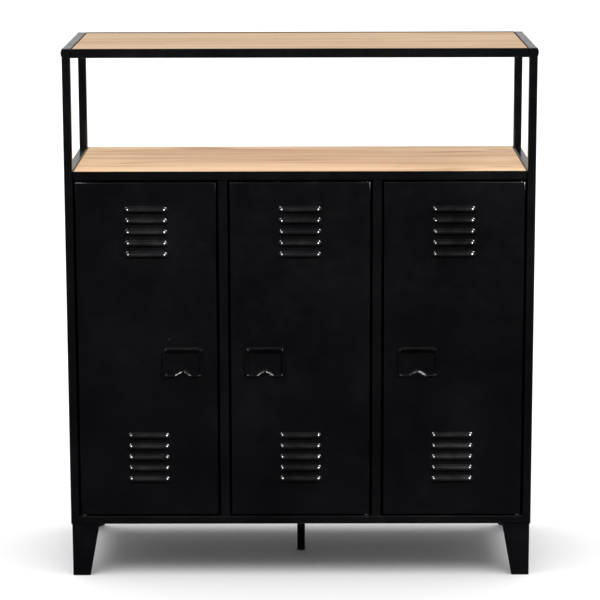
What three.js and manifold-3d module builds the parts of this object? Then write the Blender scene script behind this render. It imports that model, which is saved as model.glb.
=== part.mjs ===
// Locker sideboard: a welded square-tube frame with two oak boards over a sheet-steel body
// with three inset doors. Millimetres, +Z up, the doors face -Y, and the origin is under the
// middle of the whole object, on the floor.
import * as THREE from 'three';
import { mergeVertices } from 'three/addons/utils/BufferGeometryUtils.js';
import { ConvexGeometry } from 'three/addons/geometries/ConvexGeometry.js';
import Module from 'manifold-3d';

const wasm = await Module();
wasm.setup();

// ---- overall sizes -------------------------------------------------------------------------
const width = 1020;             // over the posts
const depth = 400;              // over the posts
const height = 1174;            // floor to the top of the upper frame
const legHeight = 119;          // floor to the underside of the steel body
const shelfLevel = 909;         // floor to the top of the middle frame
const fit = 0.3;                // gap left between pieces that touch

// ---- square tube and angle steel -----------------------------------------------------------
const tube = 18;
const tubeWall = 1.2;
const tubeRadius = 2;
const angleHeight = 20;         // upright flange of the front and back rails
const angleSteel = 2;
const angleLedge = 20;          // flat flange that a board rests on
const topBoard = 16;
const midBoard = angleHeight - angleSteel - fit;        // flush with the middle frame

// ---- steel body ----------------------------------------------------------------------------
const sheet = 1.2;
const plinth = 18;              // height of the floor tray's front flange
const stileWidth = 20;
const panelRecess = 1.5;        // side panels sit this far inside the posts' outer faces
const panelLip = 15;            // folded lips round the side panels' open side
const backRecess = 2.5;
const shelfFlange = 15;
const shelfSetback = 16;        // front of the loose shelves behind the doors
const supportSize = 15;
const supportSetback = 8;       // behind the doors, clear of their swing

// ---- doors ---------------------------------------------------------------------------------
const doorSideGap = 5;
const doorEndGap = 4;
const doorThickness = 18;
const doorSheet = 1.1;
const doorLip = 15;
const doorRadius = 2.5;
const louvresPerGroup = 5;
const louvrePitch = 24.75;
const louvreLength = 94;
const louvreHeight = 11;
const louvreReach = 6;
const louvreSlot = 1.5;         // opening left under each hood's lip line
const louvreGroups = [126.5, 631];                      // middle lip line above the door's foot

// ---- pivots --------------------------------------------------------------------------------
const pivotInset = 7;           // from the door's hinge edge
const pivotSetback = 8;         // behind the door's face
const pinRadius = 3;
const pinCollar = 4.8;
const pinCollarHeight = 2;
const washerRadius = 6.5;

// ---- handles -------------------------------------------------------------------------------
const handleInset = 75;         // from the door's free edge to the handle's middle
const plateWidth = 68;
const plateRise = 25;           // above the ring's axis
const plateSteel = 1.2;
const rollRadius = 4.9;         // outside of the plate's rolled lower edge
const rollBore = 3.6;
const rollLift = 1.5;           // the ring hangs this far below the roll's middle
const plateRadius = 10;
const ringWire = 3.2;
const ringSide = 6.75;          // from the plate's end to the ring's side
const ringDrop = 59;
const ringCorner = 7;
const ringNotchWidth = 35;
const ringNotchHeight = 10;
const ringEndGap = 1;           // the wire's two ends inside the barrel
const handleRise = 3;           // ring axis above the door's middle

// ---- feet and fasteners --------------------------------------------------------------------
const legTopWidth = 61;
const legFootWidth = 39;
const legSteel = 2;
const legInset = 2;
const glideHeight = 5;
const boltRadius = 3;
const boltHeadRadius = 8.2;
const boltHeadHeight = 2.6;
const catchLength = 44;
const catchDepth = 12;
const catchHeight = 12;
const catchEar = 8;
const catchEarThickness = 2.5;

// ---- worked-out places ---------------------------------------------------------------------
const ringStandoff = rollRadius + fit;                  // ring axis in front of the door's face
const proud = ringStandoff + rollRadius;                // what stands in front of the doors
const front = -(depth - proud) / 2;                     // front face of posts, rails and doors
const back = front + depth;
const innerHalf = width / 2 - tube;                     // inner faces of the posts
const bodyTop = shelfLevel - angleHeight;               // underside of the middle front rail
const floorTop = legHeight + plinth;                    // top of the floor tray
const doorWidth = (2 * innerHalf - 2 * stileWidth - 6 * doorSideGap) / 3;
const doorHeight = bodyTop - floorTop - 2 * doorEndGap;
const doorBottom = floorTop + doorEndGap;
const bayPitch = doorWidth + 2 * doorSideGap + stileWidth;
const shelfTop = doorBottom + doorHeight / 2;
const boltHeight = height - angleHeight / 2;
const stileDepth = doorThickness;
const ringWidth = plateWidth + 2 * ringSide;            // between wire centrelines
const midFrontLedge = doorThickness + catchDepth + 2;   // the rail that also carries the catches
const tabDepth = tube;
const boltSetback = tabDepth / 2;
const boltLength = tube + 2 * fit + angleSteel;         // through the post and the rail's tab

const steelBlack = new THREE.MeshStandardMaterial({ color: 0x101113, roughness: 0.42, metalness: 0.5 });
const oak = new THREE.MeshStandardMaterial({ color: 0xd9b98f, roughness: 0.6, metalness: 0 });
const plasticBlack = new THREE.MeshStandardMaterial({ color: 0x0c0c0d, roughness: 0.55, metalness: 0 });
const zinc = new THREE.MeshStandardMaterial({ color: 0xb4b7ba, roughness: 0.35, metalness: 1 });

// ---- making and cutting solids -------------------------------------------------------------
function toSolid(geometry) {
  const bare = geometry.clone();
  bare.deleteAttribute('normal');
  bare.deleteAttribute('uv');
  const merged = mergeVertices(bare, 1e-4);
  const vertProperties = new Float32Array(merged.attributes.position.array);
  const triVerts = new Uint32Array(merged.index.array);
  return new wasm.Manifold(new wasm.Mesh({ numProp: 3, vertProperties, triVerts }));
}

function toGeometry(solid) {
  const mesh = solid.getMesh();
  const geometry = new THREE.BufferGeometry();
  geometry.setAttribute('position', new THREE.BufferAttribute(new Float32Array(mesh.vertProperties), 3));
  geometry.setIndex(new THREE.BufferAttribute(new Uint32Array(mesh.triVerts), 1));
  geometry.computeVertexNormals();
  return geometry;
}

function join(parts) {
  const solids = parts.map(toSolid);
  return toGeometry(solids.reduce((whole, next) => whole.add(next)));
}

function cut(body, tools) {
  return toGeometry(tools.map(toSolid).reduce((rest, tool) => rest.subtract(tool), toSolid(body)));
}

function block([x0, x1], [y0, y1], [z0, z1]) {
  const geometry = new THREE.BoxGeometry(x1 - x0, y1 - y0, z1 - z0);
  return geometry.translate((x0 + x1) / 2, (y0 + y1) / 2, (z0 + z1) / 2);
}

// A rounded rectangle centred on the origin, as a Shape or as a hole.
function roundRect(w, h, r, Kind = THREE.Shape) {
  const path = new Kind();
  path.moveTo(-w / 2 + r, -h / 2);
  path.lineTo(w / 2 - r, -h / 2);
  path.absarc(w / 2 - r, -h / 2 + r, r, -Math.PI / 2, 0);
  path.lineTo(w / 2, h / 2 - r);
  path.absarc(w / 2 - r, h / 2 - r, r, 0, Math.PI / 2);
  path.lineTo(-w / 2 + r, h / 2);
  path.absarc(-w / 2 + r, h / 2 - r, r, Math.PI / 2, Math.PI);
  path.lineTo(-w / 2, -h / 2 + r);
  path.absarc(-w / 2 + r, -h / 2 + r, r, Math.PI, 1.5 * Math.PI);
  return path;
}

function polygon(points) {
  return new THREE.Shape(points.map(([u, v]) => new THREE.Vector2(u, v)));
}

function extrude(shape, length, curveSegments = 3) {
  return new THREE.ExtrudeGeometry(shape, { depth: length, bevelEnabled: false, curveSegments });
}

// Extrusions laid along an axis: along X the shape is drawn in (Y, Z), and along Y in (X, Z)
// with the solid starting at the far end and coming towards -Y.
const alongX = (geometry) => geometry.applyMatrix4(new THREE.Matrix4().makeBasis(
  new THREE.Vector3(0, 1, 0), new THREE.Vector3(0, 0, 1), new THREE.Vector3(1, 0, 0)));
const alongY = (geometry) => geometry.applyMatrix4(new THREE.Matrix4().makeBasis(
  new THREE.Vector3(1, 0, 0), new THREE.Vector3(0, 0, 1), new THREE.Vector3(0, -1, 0)));

// A round bar along Z from z0 to z1, and the same along X.
function bar(radius, z0, z1, sides = 12) {
  const geometry = new THREE.CylinderGeometry(radius, radius, z1 - z0, sides);
  return geometry.rotateX(Math.PI / 2).translate(0, 0, (z0 + z1) / 2);
}
const barX = (radius, x0, x1, sides = 12) => bar(radius, x0, x1, sides).rotateY(Math.PI / 2);

// A turned piece about Z from [radius, z] pairs that close on themselves or on the axis.
function turned(profile, sides = 16) {
  const points = profile.map(([r, z]) => new THREE.Vector2(r, z));
  return new THREE.LatheGeometry(points, sides).rotateX(Math.PI / 2);
}

// ---- the assembly --------------------------------------------------------------------------
const sideboard = new THREE.Group();

function place(name, geometry, material, [x, y, z] = [0, 0, 0], turn = 0, parent = sideboard) {
  const mesh = new THREE.Mesh(geometry, material);
  mesh.name = name;
  mesh.position.set(x, y, z);
  mesh.rotation.z = turn;
  parent.add(mesh);
  return mesh;
}

const sides = [{ side: 'left', sign: -1 }, { side: 'right', sign: 1 }];
const ends = [{ end: 'front', face: front, sign: 1 }, { end: 'back', face: back, sign: -1 }];

// ---- square-tube frame ---------------------------------------------------------------------
function tubeSection() {
  const section = roundRect(tube, tube, tubeRadius);
  const bore = tube - 2 * tubeWall;
  section.holes.push(roundRect(bore, bore, tubeRadius - tubeWall, THREE.Path));
  return section;
}

// A post is closed by a welded cap on top, open below, and cross-drilled for the rail bolt.
function postGeometry() {
  const length = height - legHeight;
  const bore = tube - 2 * tubeWall;
  const outside = extrude(roundRect(tube, tube, tubeRadius), length);
  const inside = extrude(roundRect(bore, bore, tubeRadius - tubeWall), length).translate(0, 0, -tubeWall);
  const drill = barX(boltRadius + fit, -tube, tube).translate(0, 0, boltHeight - legHeight);
  return cut(outside, [inside, drill]);
}

function sideRailGeometry() {
  const length = depth - 2 * tube - 2 * fit;
  return alongY(extrude(tubeSection(), length)).translate(0, length / 2, 0);
}

const post = postGeometry();
const sideRail = sideRailGeometry();
const middleY = (front + back) / 2;
for (const { side, sign } of sides) {
  const x = sign * (width / 2 - tube / 2);
  for (const { end, face, sign: inward } of ends) {
    place(`post_${end}_${side}`, post, steelBlack, [x, face + inward * tube / 2, legHeight]);
  }
  place(`top_side_rail_${side}`, sideRail, steelBlack, [x, middleY, height - tube / 2]);
  place(`mid_side_rail_${side}`, sideRail, steelBlack, [x, middleY, shelfLevel - tube / 2]);
}

// ---- angle rails between the posts, with folded end tabs for the bolts ----------------------
const railHalf = innerHalf - fit;

// Drawn with its outer face on y = 0 and its top on z = 0, the ledge reaching towards +Y.
function angleRail(ledge, holes) {
  const bottom = -angleHeight;
  const tabs = sides.map(({ sign }) => {
    const outer = sign * railHalf;
    const span = [outer, outer - sign * angleSteel].sort((a, b) => a - b);
    return block(span, [0, tabDepth], [bottom, -angleSteel]);
  });
  const flange = block([-railHalf, railHalf], [0, angleSteel], [bottom, 0]);
  const shelf = block([-railHalf, railHalf], [0, ledge], [bottom, bottom + angleSteel]);
  return cut(join([flange, shelf, ...tabs]), holes);
}

const boltHoles = sides.map(({ sign }) => barX(boltRadius + fit, -angleSteel, angleSteel)
  .translate(sign * (railHalf - angleSteel / 2), boltSetback, -angleHeight / 2));
const topRail = angleRail(angleLedge, boltHoles);
place('top_front_rail', topRail, steelBlack, [0, front, height]);
place('top_back_rail', topRail, steelBlack, [0, back, height], Math.PI);

// ---- doors' pivot places, shared by rail, tray, door and pin --------------------------------
const bays = [
  { bay: 'left', index: -1, hinge: -1 },
  { bay: 'middle', index: 0, hinge: 1 },
  { bay: 'right', index: 1, hinge: 1 },
].map((one) => {
  const middle = one.index * bayPitch;
  return { ...one, middle, pivotX: middle + one.hinge * (doorWidth / 2 - pivotInset) };
});
const pivotY = front + pivotSetback;

const throughLedge = [-angleHeight - 1, -angleHeight + angleSteel + 1];
const pivotHoles = bays.map(({ pivotX }) => bar(pinRadius + fit, ...throughLedge)
  .translate(pivotX, pivotSetback, 0));
place('mid_front_rail', angleRail(midFrontLedge, pivotHoles), steelBlack, [0, front, shelfLevel]);
place('mid_back_rail', angleRail(angleLedge, []), steelBlack, [0, back, shelfLevel], Math.PI);

// ---- boards --------------------------------------------------------------------------------
const boardHalf = railHalf - angleSteel - fit;
const boardY = [front + angleSteel + fit, back - angleSteel - fit];

function board(thickness) {
  const section = polygon([
    [boardY[0], 0], [boardY[1], 0], [boardY[1], thickness - 0.5], [boardY[1] - 0.5, thickness],
    [boardY[0] + 0.5, thickness], [boardY[0], thickness - 0.5],
  ]);
  return alongX(extrude(section, 2 * boardHalf)).translate(-boardHalf, 0, 0);
}

const ledgeAbove = angleSteel + fit - angleHeight;
place('top_board', board(topBoard), oak, [0, 0, height + ledgeAbove]);
place('mid_board', board(midBoard), oak, [0, 0, shelfLevel + ledgeAbove]);

// ---- steel body ----------------------------------------------------------------------------
const betweenPosts = [front + tube + fit, back - tube - fit];
const innerBack = back - backRecess - sheet - fit;      // in front of the back panel

// A span shortened by the same amount at both ends.
const inset = ([low, high], by) => [low + by, high - by];

// Side panel: a lipped pan between the posts, its open side inwards, drawn for the right.
function sidePanel() {
  const z = [legHeight, shelfLevel - tube - fit];
  const x = [innerHalf, width / 2 - panelRecess];
  const hollow = block(inset(x, sheet), inset(betweenPosts, sheet), inset(z, sheet));
  const opening = block([x[0] - 1, x[1] - sheet], inset(betweenPosts, panelLip), inset(z, panelLip));
  return cut(block(x, betweenPosts, z), [hollow, opening]);
}

const panel = sidePanel();
place('side_panel_right', panel, steelBlack);
place('side_panel_left', panel, steelBlack, [0, 2 * middleY, 0], Math.PI);

// Back panel: a flat sheet between the back posts.
function backPanel() {
  const y = back - backRecess;
  const z = [floorTop + fit, bodyTop - fit];
  return block([-railHalf, railHalf], [y - sheet, y], z);
}
place('back_panel', backPanel(), steelBlack);

// Floor tray: the compartments' floor, folded down all round.
function floorTray() {
  const x = [-railHalf, railHalf];
  const y = [front, back - backRecess];
  const outer = block(x, y, [legHeight, floorTop]);
  const under = block([x[0] + sheet, x[1] - sheet], [y[0] + sheet, y[1] - sheet],
    [legHeight - 1, floorTop - sheet]);
  const holes = bays.map(({ pivotX }) => bar(pinRadius + fit, legHeight, floorTop + 1)
    .translate(pivotX, pivotY, 0));
  return cut(outer, [under, ...holes]);
}
place('floor_tray', floorTray(), steelBlack);

// Partition: a box stile seen between two doors, and a web back to the rear panel with a
// folded top that carries the board.
function partition() {
  const wall = sheet;
  const stile = roundRect(stileWidth, stileDepth, doorRadius);
  stile.holes.push(roundRect(stileWidth - 2 * wall, stileDepth - 2 * wall, doorRadius - wall, THREE.Path));
  const z = [floorTop + fit, bodyTop - fit];
  const post = extrude(stile, z[1] - z[0]).translate(0, front + stileDepth / 2, z[0]);
  const webFront = front + stileDepth - wall / 2;
  const top = bodyTop + angleSteel;
  const topY = [front + midFrontLedge + fit, back - angleLedge - fit];
  const web = alongX(extrude(polygon([
    [webFront, z[0] + fit], [innerBack, z[0] + fit], [innerBack, z[1] - fit], [topY[1], z[1] - fit],
    [topY[1], top - wall / 2], [topY[0], top - wall / 2], [topY[0], z[1] - fit], [webFront, z[1] - fit],
  ]), wall)).translate(-wall / 2, 0, 0);
  const seat = block([0, stileWidth / 2], [topY[0] + fit, topY[1] - fit], [top - wall, top]);
  return join([post, web, seat]);
}

const divider = partition();
place('partition_left', divider, steelBlack, [-bayPitch / 2, 0, 0]);
place('partition_right', divider, steelBlack, [bayPitch / 2, 0, 0]);

// Clear width of each compartment: from post to web, or from web to web.
function bayWalls(index) {
  const web = sheet / 2 + fit;
  const low = index < 0 ? -railHalf : (index - 0.5) * bayPitch + web;
  const high = index > 0 ? railHalf : (index + 0.5) * bayPitch - web;
  return [low, high];
}

// Loose shelf: a flat tray folded down at front and back, on two angle supports.
function shelf([x0, x1]) {
  const y = [front + doorThickness + shelfSetback, innerBack - 2];
  const inner = [x0 + supportSize + 2, x1 - supportSize - 2];
  const top = block([x0 + fit, x1 - fit], y, [-sheet, 0]);
  const edges = [[y[0], y[0] + sheet], [y[1] - sheet, y[1]]]
    .map((span) => block(inner, span, [-shelfFlange, 0]));
  return join([top, ...edges]);
}

function shelfSupport() {
  const section = polygon([
    [0, -supportSize], [sheet, -supportSize], [sheet, -sheet], [supportSize, -sheet],
    [supportSize, 0], [0, 0],
  ]);
  const y = [front + doorThickness + supportSetback, betweenPosts[1]];
  return alongY(extrude(section, y[1] - y[0])).translate(0, y[1], 0);
}

const support = shelfSupport();
for (const { bay, index } of bays) {
  const walls = bayWalls(index);
  place(`shelf_${bay}`, shelf(walls), steelBlack, [0, 0, shelfTop]);
  const z = shelfTop - sheet - fit;
  place(`shelf_support_${bay}_a`, support, steelBlack, [walls[0], 0, z]);
  place(`shelf_support_${bay}_b`, flipped(support), steelBlack, [walls[1], 0, z]);
}

// The same section mirrored left to right, with its faces still pointing out.
function flipped(geometry) {
  const solid = toSolid(geometry).mirror([1, 0, 0]);
  return toGeometry(solid);
}

// ---- doors ---------------------------------------------------------------------------------
// One pressed hood: quarter-round above a straight lip, with rounded ends. Its lip lies on
// z = 0 and it stands towards -Y from y = 0.
function hood(length, rise, reach, behind, below) {
  const points = [];
  const stations = [[length / 2 - rise, 1], [length / 2 - rise * 0.3, 0.72], [length / 2, 0.18]];
  for (const [x, share] of stations) {
    for (const degrees of [0, 30, 60, 90]) {
      const a = THREE.MathUtils.degToRad(degrees);
      for (const s of [-1, 1]) {
        points.push(new THREE.Vector3(s * x, -reach * share * Math.cos(a), rise * share * Math.sin(a)));
      }
    }
    for (const s of [-1, 1]) {
      points.push(new THREE.Vector3(s * x, behind, rise * share));
      points.push(new THREE.Vector3(s * x, behind, -below));
      points.push(new THREE.Vector3(s * x, -reach * share, -below));
    }
  }
  return new ConvexGeometry(points);
}

// A door is drawn with its middle on x = 0, its face on y = 0 and its foot on z = 0.
function door(hinge) {
  const w = doorWidth;
  const h = doorHeight;
  const s = doorSheet;
  const shell = block([-w / 2, w / 2], [0, doorThickness], [0, h]);
  const plan = roundRect(w, 2 * doorThickness, doorRadius);
  const roundedPlan = extrude(plan, h).translate(0, doorThickness, 0);
  const body = toGeometry(toSolid(shell).intersect(toSolid(roundedPlan)));
  const hollow = block([-w / 2 + s, w / 2 - s], [s, doorThickness - s], [s, h - s]);
  const lip = doorLip;
  const opening = block([-w / 2 + lip, w / 2 - lip], [s, doorThickness + 1], [lip, h - lip]);
  const pivots = [[-1, s + 1], [h - s - 1, h + 1]].map(([z0, z1]) => bar(pinRadius + fit, z0, z1)
    .translate(hinge * (w / 2 - pivotInset), pivotSetback, 0));
  const lips = louvreLevels();
  const hoods = lips.map((z) => hood(louvreLength, louvreHeight, louvreReach, s / 2, 0).translate(0, 0, z));
  const inner = louvreHeight - s;
  const vents = lips.map((z) => hood(louvreLength - 2 * s, inner, louvreReach - s, s + 1, louvreSlot)
    .translate(0, 0, z));
  const pan = cut(body, [hollow, opening, ...pivots]);
  return cut(join([pan, ...hoods]), vents);
}

function louvreLevels() {
  const steps = Array.from({ length: louvresPerGroup }, (_, i) => i - (louvresPerGroup - 1) / 2);
  return louvreGroups.flatMap((middle) => steps.map((step) => middle + step * louvrePitch));
}

// ---- handles: a rolled backplate and a drop ring of bent wire --------------------------------
// Both are drawn about the ring's axis, with the door's face at y = ringStandoff.
function handlePlate() {
  const outline = new THREE.Shape();
  const half = plateWidth / 2;
  const shoulder = plateRise - plateRadius;
  outline.moveTo(-half, rollLift);
  outline.lineTo(half, rollLift);
  outline.lineTo(half, shoulder);
  outline.absarc(half - plateRadius, shoulder, plateRadius, 0, Math.PI / 2);
  outline.lineTo(-half + plateRadius, plateRise);
  outline.absarc(-half + plateRadius, shoulder, plateRadius, Math.PI / 2, Math.PI);
  const plate = alongY(extrude(outline, plateSteel, 5)).translate(0, rollRadius, 0);
  const roll = barX(rollRadius, -half + fit, half - fit, 16).translate(0, 0, rollLift);
  const bore = barX(rollBore, -half - 1, half + 1, 16).translate(0, 0, rollLift);
  return cut(join([plate, roll]), [bore]);
}

// The ring's centreline from one wire end, round the loop, to the other.
function ringPath() {
  const path = new THREE.CurvePath();
  const half = ringWidth / 2;
  const r = ringCorner;
  const at = (x, z) => new THREE.Vector3(x, 0, z);
  const corner = (a, b, c) => path.add(new THREE.QuadraticBezierCurve3(at(...a), at(...b), at(...c)));
  const line = (a, b) => path.add(new THREE.LineCurve3(at(...a), at(...b)));
  const notch = ringNotchWidth / 2;
  const peak = ringNotchHeight - ringDrop;
  const slope = (peak - ringDrop) / 2;
  line([ringEndGap / 2, 0], [half - r, 0]);
  corner([half - r, 0], [half, 0], [half, -r]);
  line([half, -r], [half, -ringDrop + r]);
  corner([half, -ringDrop + r], [half, -ringDrop], [half - r, -ringDrop]);
  line([half - r, -ringDrop], [notch, -ringDrop]);
  corner([notch, -ringDrop], [notch * 0.75, -ringDrop], [notch / 2, slope]);
  corner([notch / 2, slope], [0, 2 * peak - slope], [-notch / 2, slope]);
  corner([-notch / 2, slope], [-notch * 0.75, -ringDrop], [-notch, -ringDrop]);
  line([-notch, -ringDrop], [-half + r, -ringDrop]);
  corner([-half + r, -ringDrop], [-half, -ringDrop], [-half, -ringDrop + r]);
  line([-half, -ringDrop + r], [-half, -r]);
  corner([-half, -r], [-half, 0], [-half + r, 0]);
  line([-half + r, 0], [-ringEndGap / 2, 0]);
  return path;
}

function handleRing() {
  const section = new THREE.Shape();
  section.absarc(0, 0, ringWire / 2, 0, 2 * Math.PI);
  return new THREE.ExtrudeGeometry(section, { steps: 72, curveSegments: 4, extrudePath: ringPath() });
}

// ---- pivots, washers and catches -------------------------------------------------------------
// A pin is turned with a collar that sits inside the door's folded end. Drawn pointing up from
// the underside of the collar.
function pivotPin(reach) {
  return turned([
    [0, 0], [pinCollar, 0], [pinCollar, pinCollarHeight], [pinRadius, pinCollarHeight],
    [pinRadius, pinCollarHeight + reach - 0.6], [pinRadius - 0.6, pinCollarHeight + reach],
    [0, pinCollarHeight + reach],
  ]);
}

function pivotWasher() {
  const hole = pinRadius + fit;
  const top = doorEndGap - 2 * fit;
  return turned([[hole, 0], [washerRadius, 0], [washerRadius, top], [hole, top], [hole, 0]]);
}

// A magnetic catch: a plastic case with a screwing ear at each end.
function magneticCatch() {
  const half = catchLength / 2;
  const body = block([-half, half], [0, catchDepth], [-catchHeight, 0]);
  const ears = block([-half - catchEar, half + catchEar], [0, catchDepth], [-catchEarThickness, 0]);
  return join([body, ears]);
}

const ring = handleRing();
const plate = handlePlate();
const washer = pivotWasher();
const keeper = magneticCatch();
for (const { bay, hinge, middle, pivotX } of bays) {
  const leaf = new THREE.Group();
  leaf.position.set(middle, front, doorBottom);
  sideboard.add(leaf);
  place(`door_${bay}`, door(hinge), steelBlack, [0, 0, 0], 0, leaf);
  const handleX = -hinge * (doorWidth / 2 - handleInset);
  const axis = [handleX, -ringStandoff, doorHeight / 2 + handleRise];
  place(`handle_plate_${bay}`, plate, steelBlack, axis, 0, leaf);
  place(`handle_ring_${bay}`, ring, steelBlack, axis, 0, leaf);

  const collarTop = doorBottom + doorHeight - doorSheet - fit;
  const upReach = doorSheet + fit + doorEndGap + angleSteel;
  const upper = pivotPin(upReach);
  place(`pivot_pin_top_${bay}`, upper, steelBlack, [pivotX, pivotY, collarTop - pinCollarHeight]);
  const lower = pivotPin(doorSheet + fit + doorEndGap + sheet + 1).rotateX(Math.PI);
  const collarBottom = doorBottom + doorSheet + fit;
  place(`pivot_pin_bottom_${bay}`, lower, zinc, [pivotX, pivotY, collarBottom + pinCollarHeight]);
  place(`pivot_washer_${bay}`, washer, plasticBlack, [pivotX, pivotY, floorTop + fit]);

  const catchX = middle - hinge * (doorWidth / 2 - handleInset);
  const catchY = front + doorThickness + 2 * fit;
  place(`magnetic_catch_${bay}`, keeper, plasticBlack, [catchX, catchY, bodyTop - fit]);
}

// ---- legs ------------------------------------------------------------------------------------
// A corner leg: two tapered faces folded at the outer corner, with a bolting plate on top and
// a three-cornered foot plate. Drawn for the front left corner, its outer corner on the origin.
function cornerLeg() {
  const top = legHeight - fit;
  const face = polygon([[0, 0], [legFootWidth, 0], [legTopWidth, top], [0, top]]);
  const frontFace = alongY(extrude(face, legSteel)).translate(0, legSteel, 0);
  const sideFace = alongX(extrude(face, legSteel));
  const head = block([0, legTopWidth], [0, legTopWidth], [top - legSteel, top]);
  const foot = extrude(polygon([[0, 0], [legFootWidth, 0], [0, legFootWidth]]), legSteel);
  return join([frontFace, sideFace, head, foot]);
}

const leg = cornerLeg();
const legX = width / 2 - legInset;
place('leg_front_left', leg, steelBlack, [-legX, front + legInset, 0], 0);
place('leg_front_right', leg, steelBlack, [legX, front + legInset, 0], Math.PI / 2);
place('leg_back_right', leg, steelBlack, [legX, back - legInset, 0], Math.PI);
place('leg_back_left', leg, steelBlack, [-legX, back - legInset, 0], -Math.PI / 2);

const legTube = floorTop - sheet - fit - glideHeight;
place('center_leg', extrude(tubeSection(), legTube), steelBlack, [0, middleY, glideHeight]);

// The glide's plug pushes into the tube, and its flange meets the floor.
function centerGlide() {
  const plug = tube - 2 * tubeWall - 2 * fit;
  const flange = extrude(roundRect(tube, tube, tubeRadius), glideHeight - fit);
  const stem = extrude(roundRect(plug, plug, tubeRadius - tubeWall), glideHeight + 12);
  return join([flange, stem]);
}
place('center_leg_glide', centerGlide(), plasticBlack, [0, middleY, 0]);

// ---- bolts through the posts into the upper rails ----------------------------------------------
// Drawn pointing towards -X from the underside of the head.
function railBolt() {
  const round = 0.8;
  const profile = [
    [0, -boltLength], [boltRadius, -boltLength], [boltRadius, 0], [boltHeadRadius, 0],
    [boltHeadRadius, boltHeadHeight - fit - round], [boltHeadRadius - round, boltHeadHeight - fit],
    [0, boltHeadHeight - fit],
  ];
  return turned(profile, 20).rotateY(Math.PI / 2);
}

const bolt = railBolt();
for (const { side, sign } of sides) {
  for (const { end, face, sign: inward } of ends) {
    const at = [sign * (width / 2 + fit), face + inward * boltSetback, boltHeight];
    place(`rail_bolt_${end}_${side}`, bolt, steelBlack, at, sign > 0 ? 0 : Math.PI);
  }
}

export default sideboard;
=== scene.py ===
"""Locker-style steel sideboard: tube frame, oak boards, louvred doors with drop rings, tapered legs."""

import math

import bmesh
import bpy
from mathutils import Matrix, Vector


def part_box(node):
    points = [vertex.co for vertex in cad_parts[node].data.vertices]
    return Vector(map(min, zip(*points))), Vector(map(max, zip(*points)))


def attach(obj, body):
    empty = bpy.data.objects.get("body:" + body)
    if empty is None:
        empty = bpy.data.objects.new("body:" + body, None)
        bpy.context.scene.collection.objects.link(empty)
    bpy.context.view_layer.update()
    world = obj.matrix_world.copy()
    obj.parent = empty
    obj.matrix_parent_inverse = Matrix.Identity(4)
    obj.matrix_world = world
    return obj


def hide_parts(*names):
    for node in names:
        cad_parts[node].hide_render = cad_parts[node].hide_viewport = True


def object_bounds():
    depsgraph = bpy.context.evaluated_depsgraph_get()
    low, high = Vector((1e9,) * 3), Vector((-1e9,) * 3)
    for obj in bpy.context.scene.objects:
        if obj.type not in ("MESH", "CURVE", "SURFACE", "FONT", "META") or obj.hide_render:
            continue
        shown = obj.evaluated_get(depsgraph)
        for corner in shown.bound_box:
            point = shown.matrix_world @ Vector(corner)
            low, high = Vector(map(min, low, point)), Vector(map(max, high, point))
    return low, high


bl_info = {
    "name": "Locker Sideboard",
    "version": (1, 0, 0),
    "blender": (4, 5, 0),
    "location": "3D View > Sidebar > Sideboard",
    "description": "Builds a steel sideboard with oak boards round its packed frame",
    "category": "Object",
}

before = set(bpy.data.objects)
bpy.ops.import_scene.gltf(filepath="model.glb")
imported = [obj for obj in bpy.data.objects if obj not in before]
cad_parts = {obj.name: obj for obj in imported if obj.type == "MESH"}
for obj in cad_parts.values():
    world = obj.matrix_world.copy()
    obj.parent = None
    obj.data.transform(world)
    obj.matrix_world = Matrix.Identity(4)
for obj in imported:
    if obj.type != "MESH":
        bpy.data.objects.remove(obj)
CAD_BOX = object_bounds()

BAYS = ("left", "middle", "right")
SIDES = ("left", "right")
ENDS = ("front", "back")
MM = 0.001
CABINET = "cabinet"
KEY_LIT = "Lit by the key light"
FLOAT = "NodeSocketFloat"
MATERIAL = "NodeSocketMaterial"
WHITE = (1.0, 1.0, 1.0, 1.0)
DOWN = (0.0, 0.0, -1.0)
PLANES = {"XY": (0, 1, 2), "YZ": (1, 2, 0), "XZ": (0, 2, 1)}


# ---- settings ---------------------------------------------------------------------------------
def length(label, description, millimetres):
    return bpy.props.FloatProperty(name=label, description=description, default=millimetres * MM,
                                   min=0.0, unit="LENGTH", precision=4)


def share(label, description, default):
    return bpy.props.FloatProperty(name=label, description=description, default=default,
                                   min=0.0, max=1.0, subtype="FACTOR")


def tone(label, description, default):
    return bpy.props.FloatVectorProperty(name=label, description=description, default=default,
                                         size=3, min=0.0, max=1.0, subtype="COLOR")


class SteelSettings(bpy.types.PropertyGroup):
    """Sheet steel, tube and their powder coat"""
    sheet: length("Sheet", "Thickness of the body's sheet steel", 1.2)
    door_sheet: length("Door sheet", "Thickness of the doors' sheet steel", 1.1)
    heavy_sheet: length("Heavy sheet", "Thickness of angle rails and legs", 2.0)
    tube_radius: length("Tube radius", "Outside radius of the square tube's edges", 2.2)
    tube_wall: length("Tube wall", "Wall of the square tube", 1.2)
    bend: length("Bend", "Inside radius of a folded edge", 0.9)
    edge: length("Edge", "Width of the eased edge on cut steel", 0.35)
    coat: tone("Coat", "Colour of the powder coat", (0.0009, 0.0009, 0.0012))
    coat_high: tone("Coat, lighter", "Colour of the powder coat where it is thinner",
                    (0.0016, 0.0017, 0.0021))
    roughness: share("Roughness", "Middle roughness of the powder coat", 0.20)


class LouvreSettings(bpy.types.PropertyGroup):
    """Pressed louvres of the doors"""
    width: length("Width", "Length of one louvre along the door", 94.0)
    rise: length("Rise", "Height of a hood above its lip", 11.0)
    reach: length("Reach", "How far a hood stands out", 6.0)
    slot: length("Slot", "Height of the slot under a lip", 1.5)
    pitch: length("Pitch", "Spacing of the louvres", 24.75)
    lower: length("Lower group", "Middle lip of the lower group above the door's foot", 126.5)
    upper: length("Upper group", "Middle lip of the upper group above the door's foot", 631.0)
    count: bpy.props.IntProperty(name="Count", description="Louvres in one group", default=5, min=1)


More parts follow.
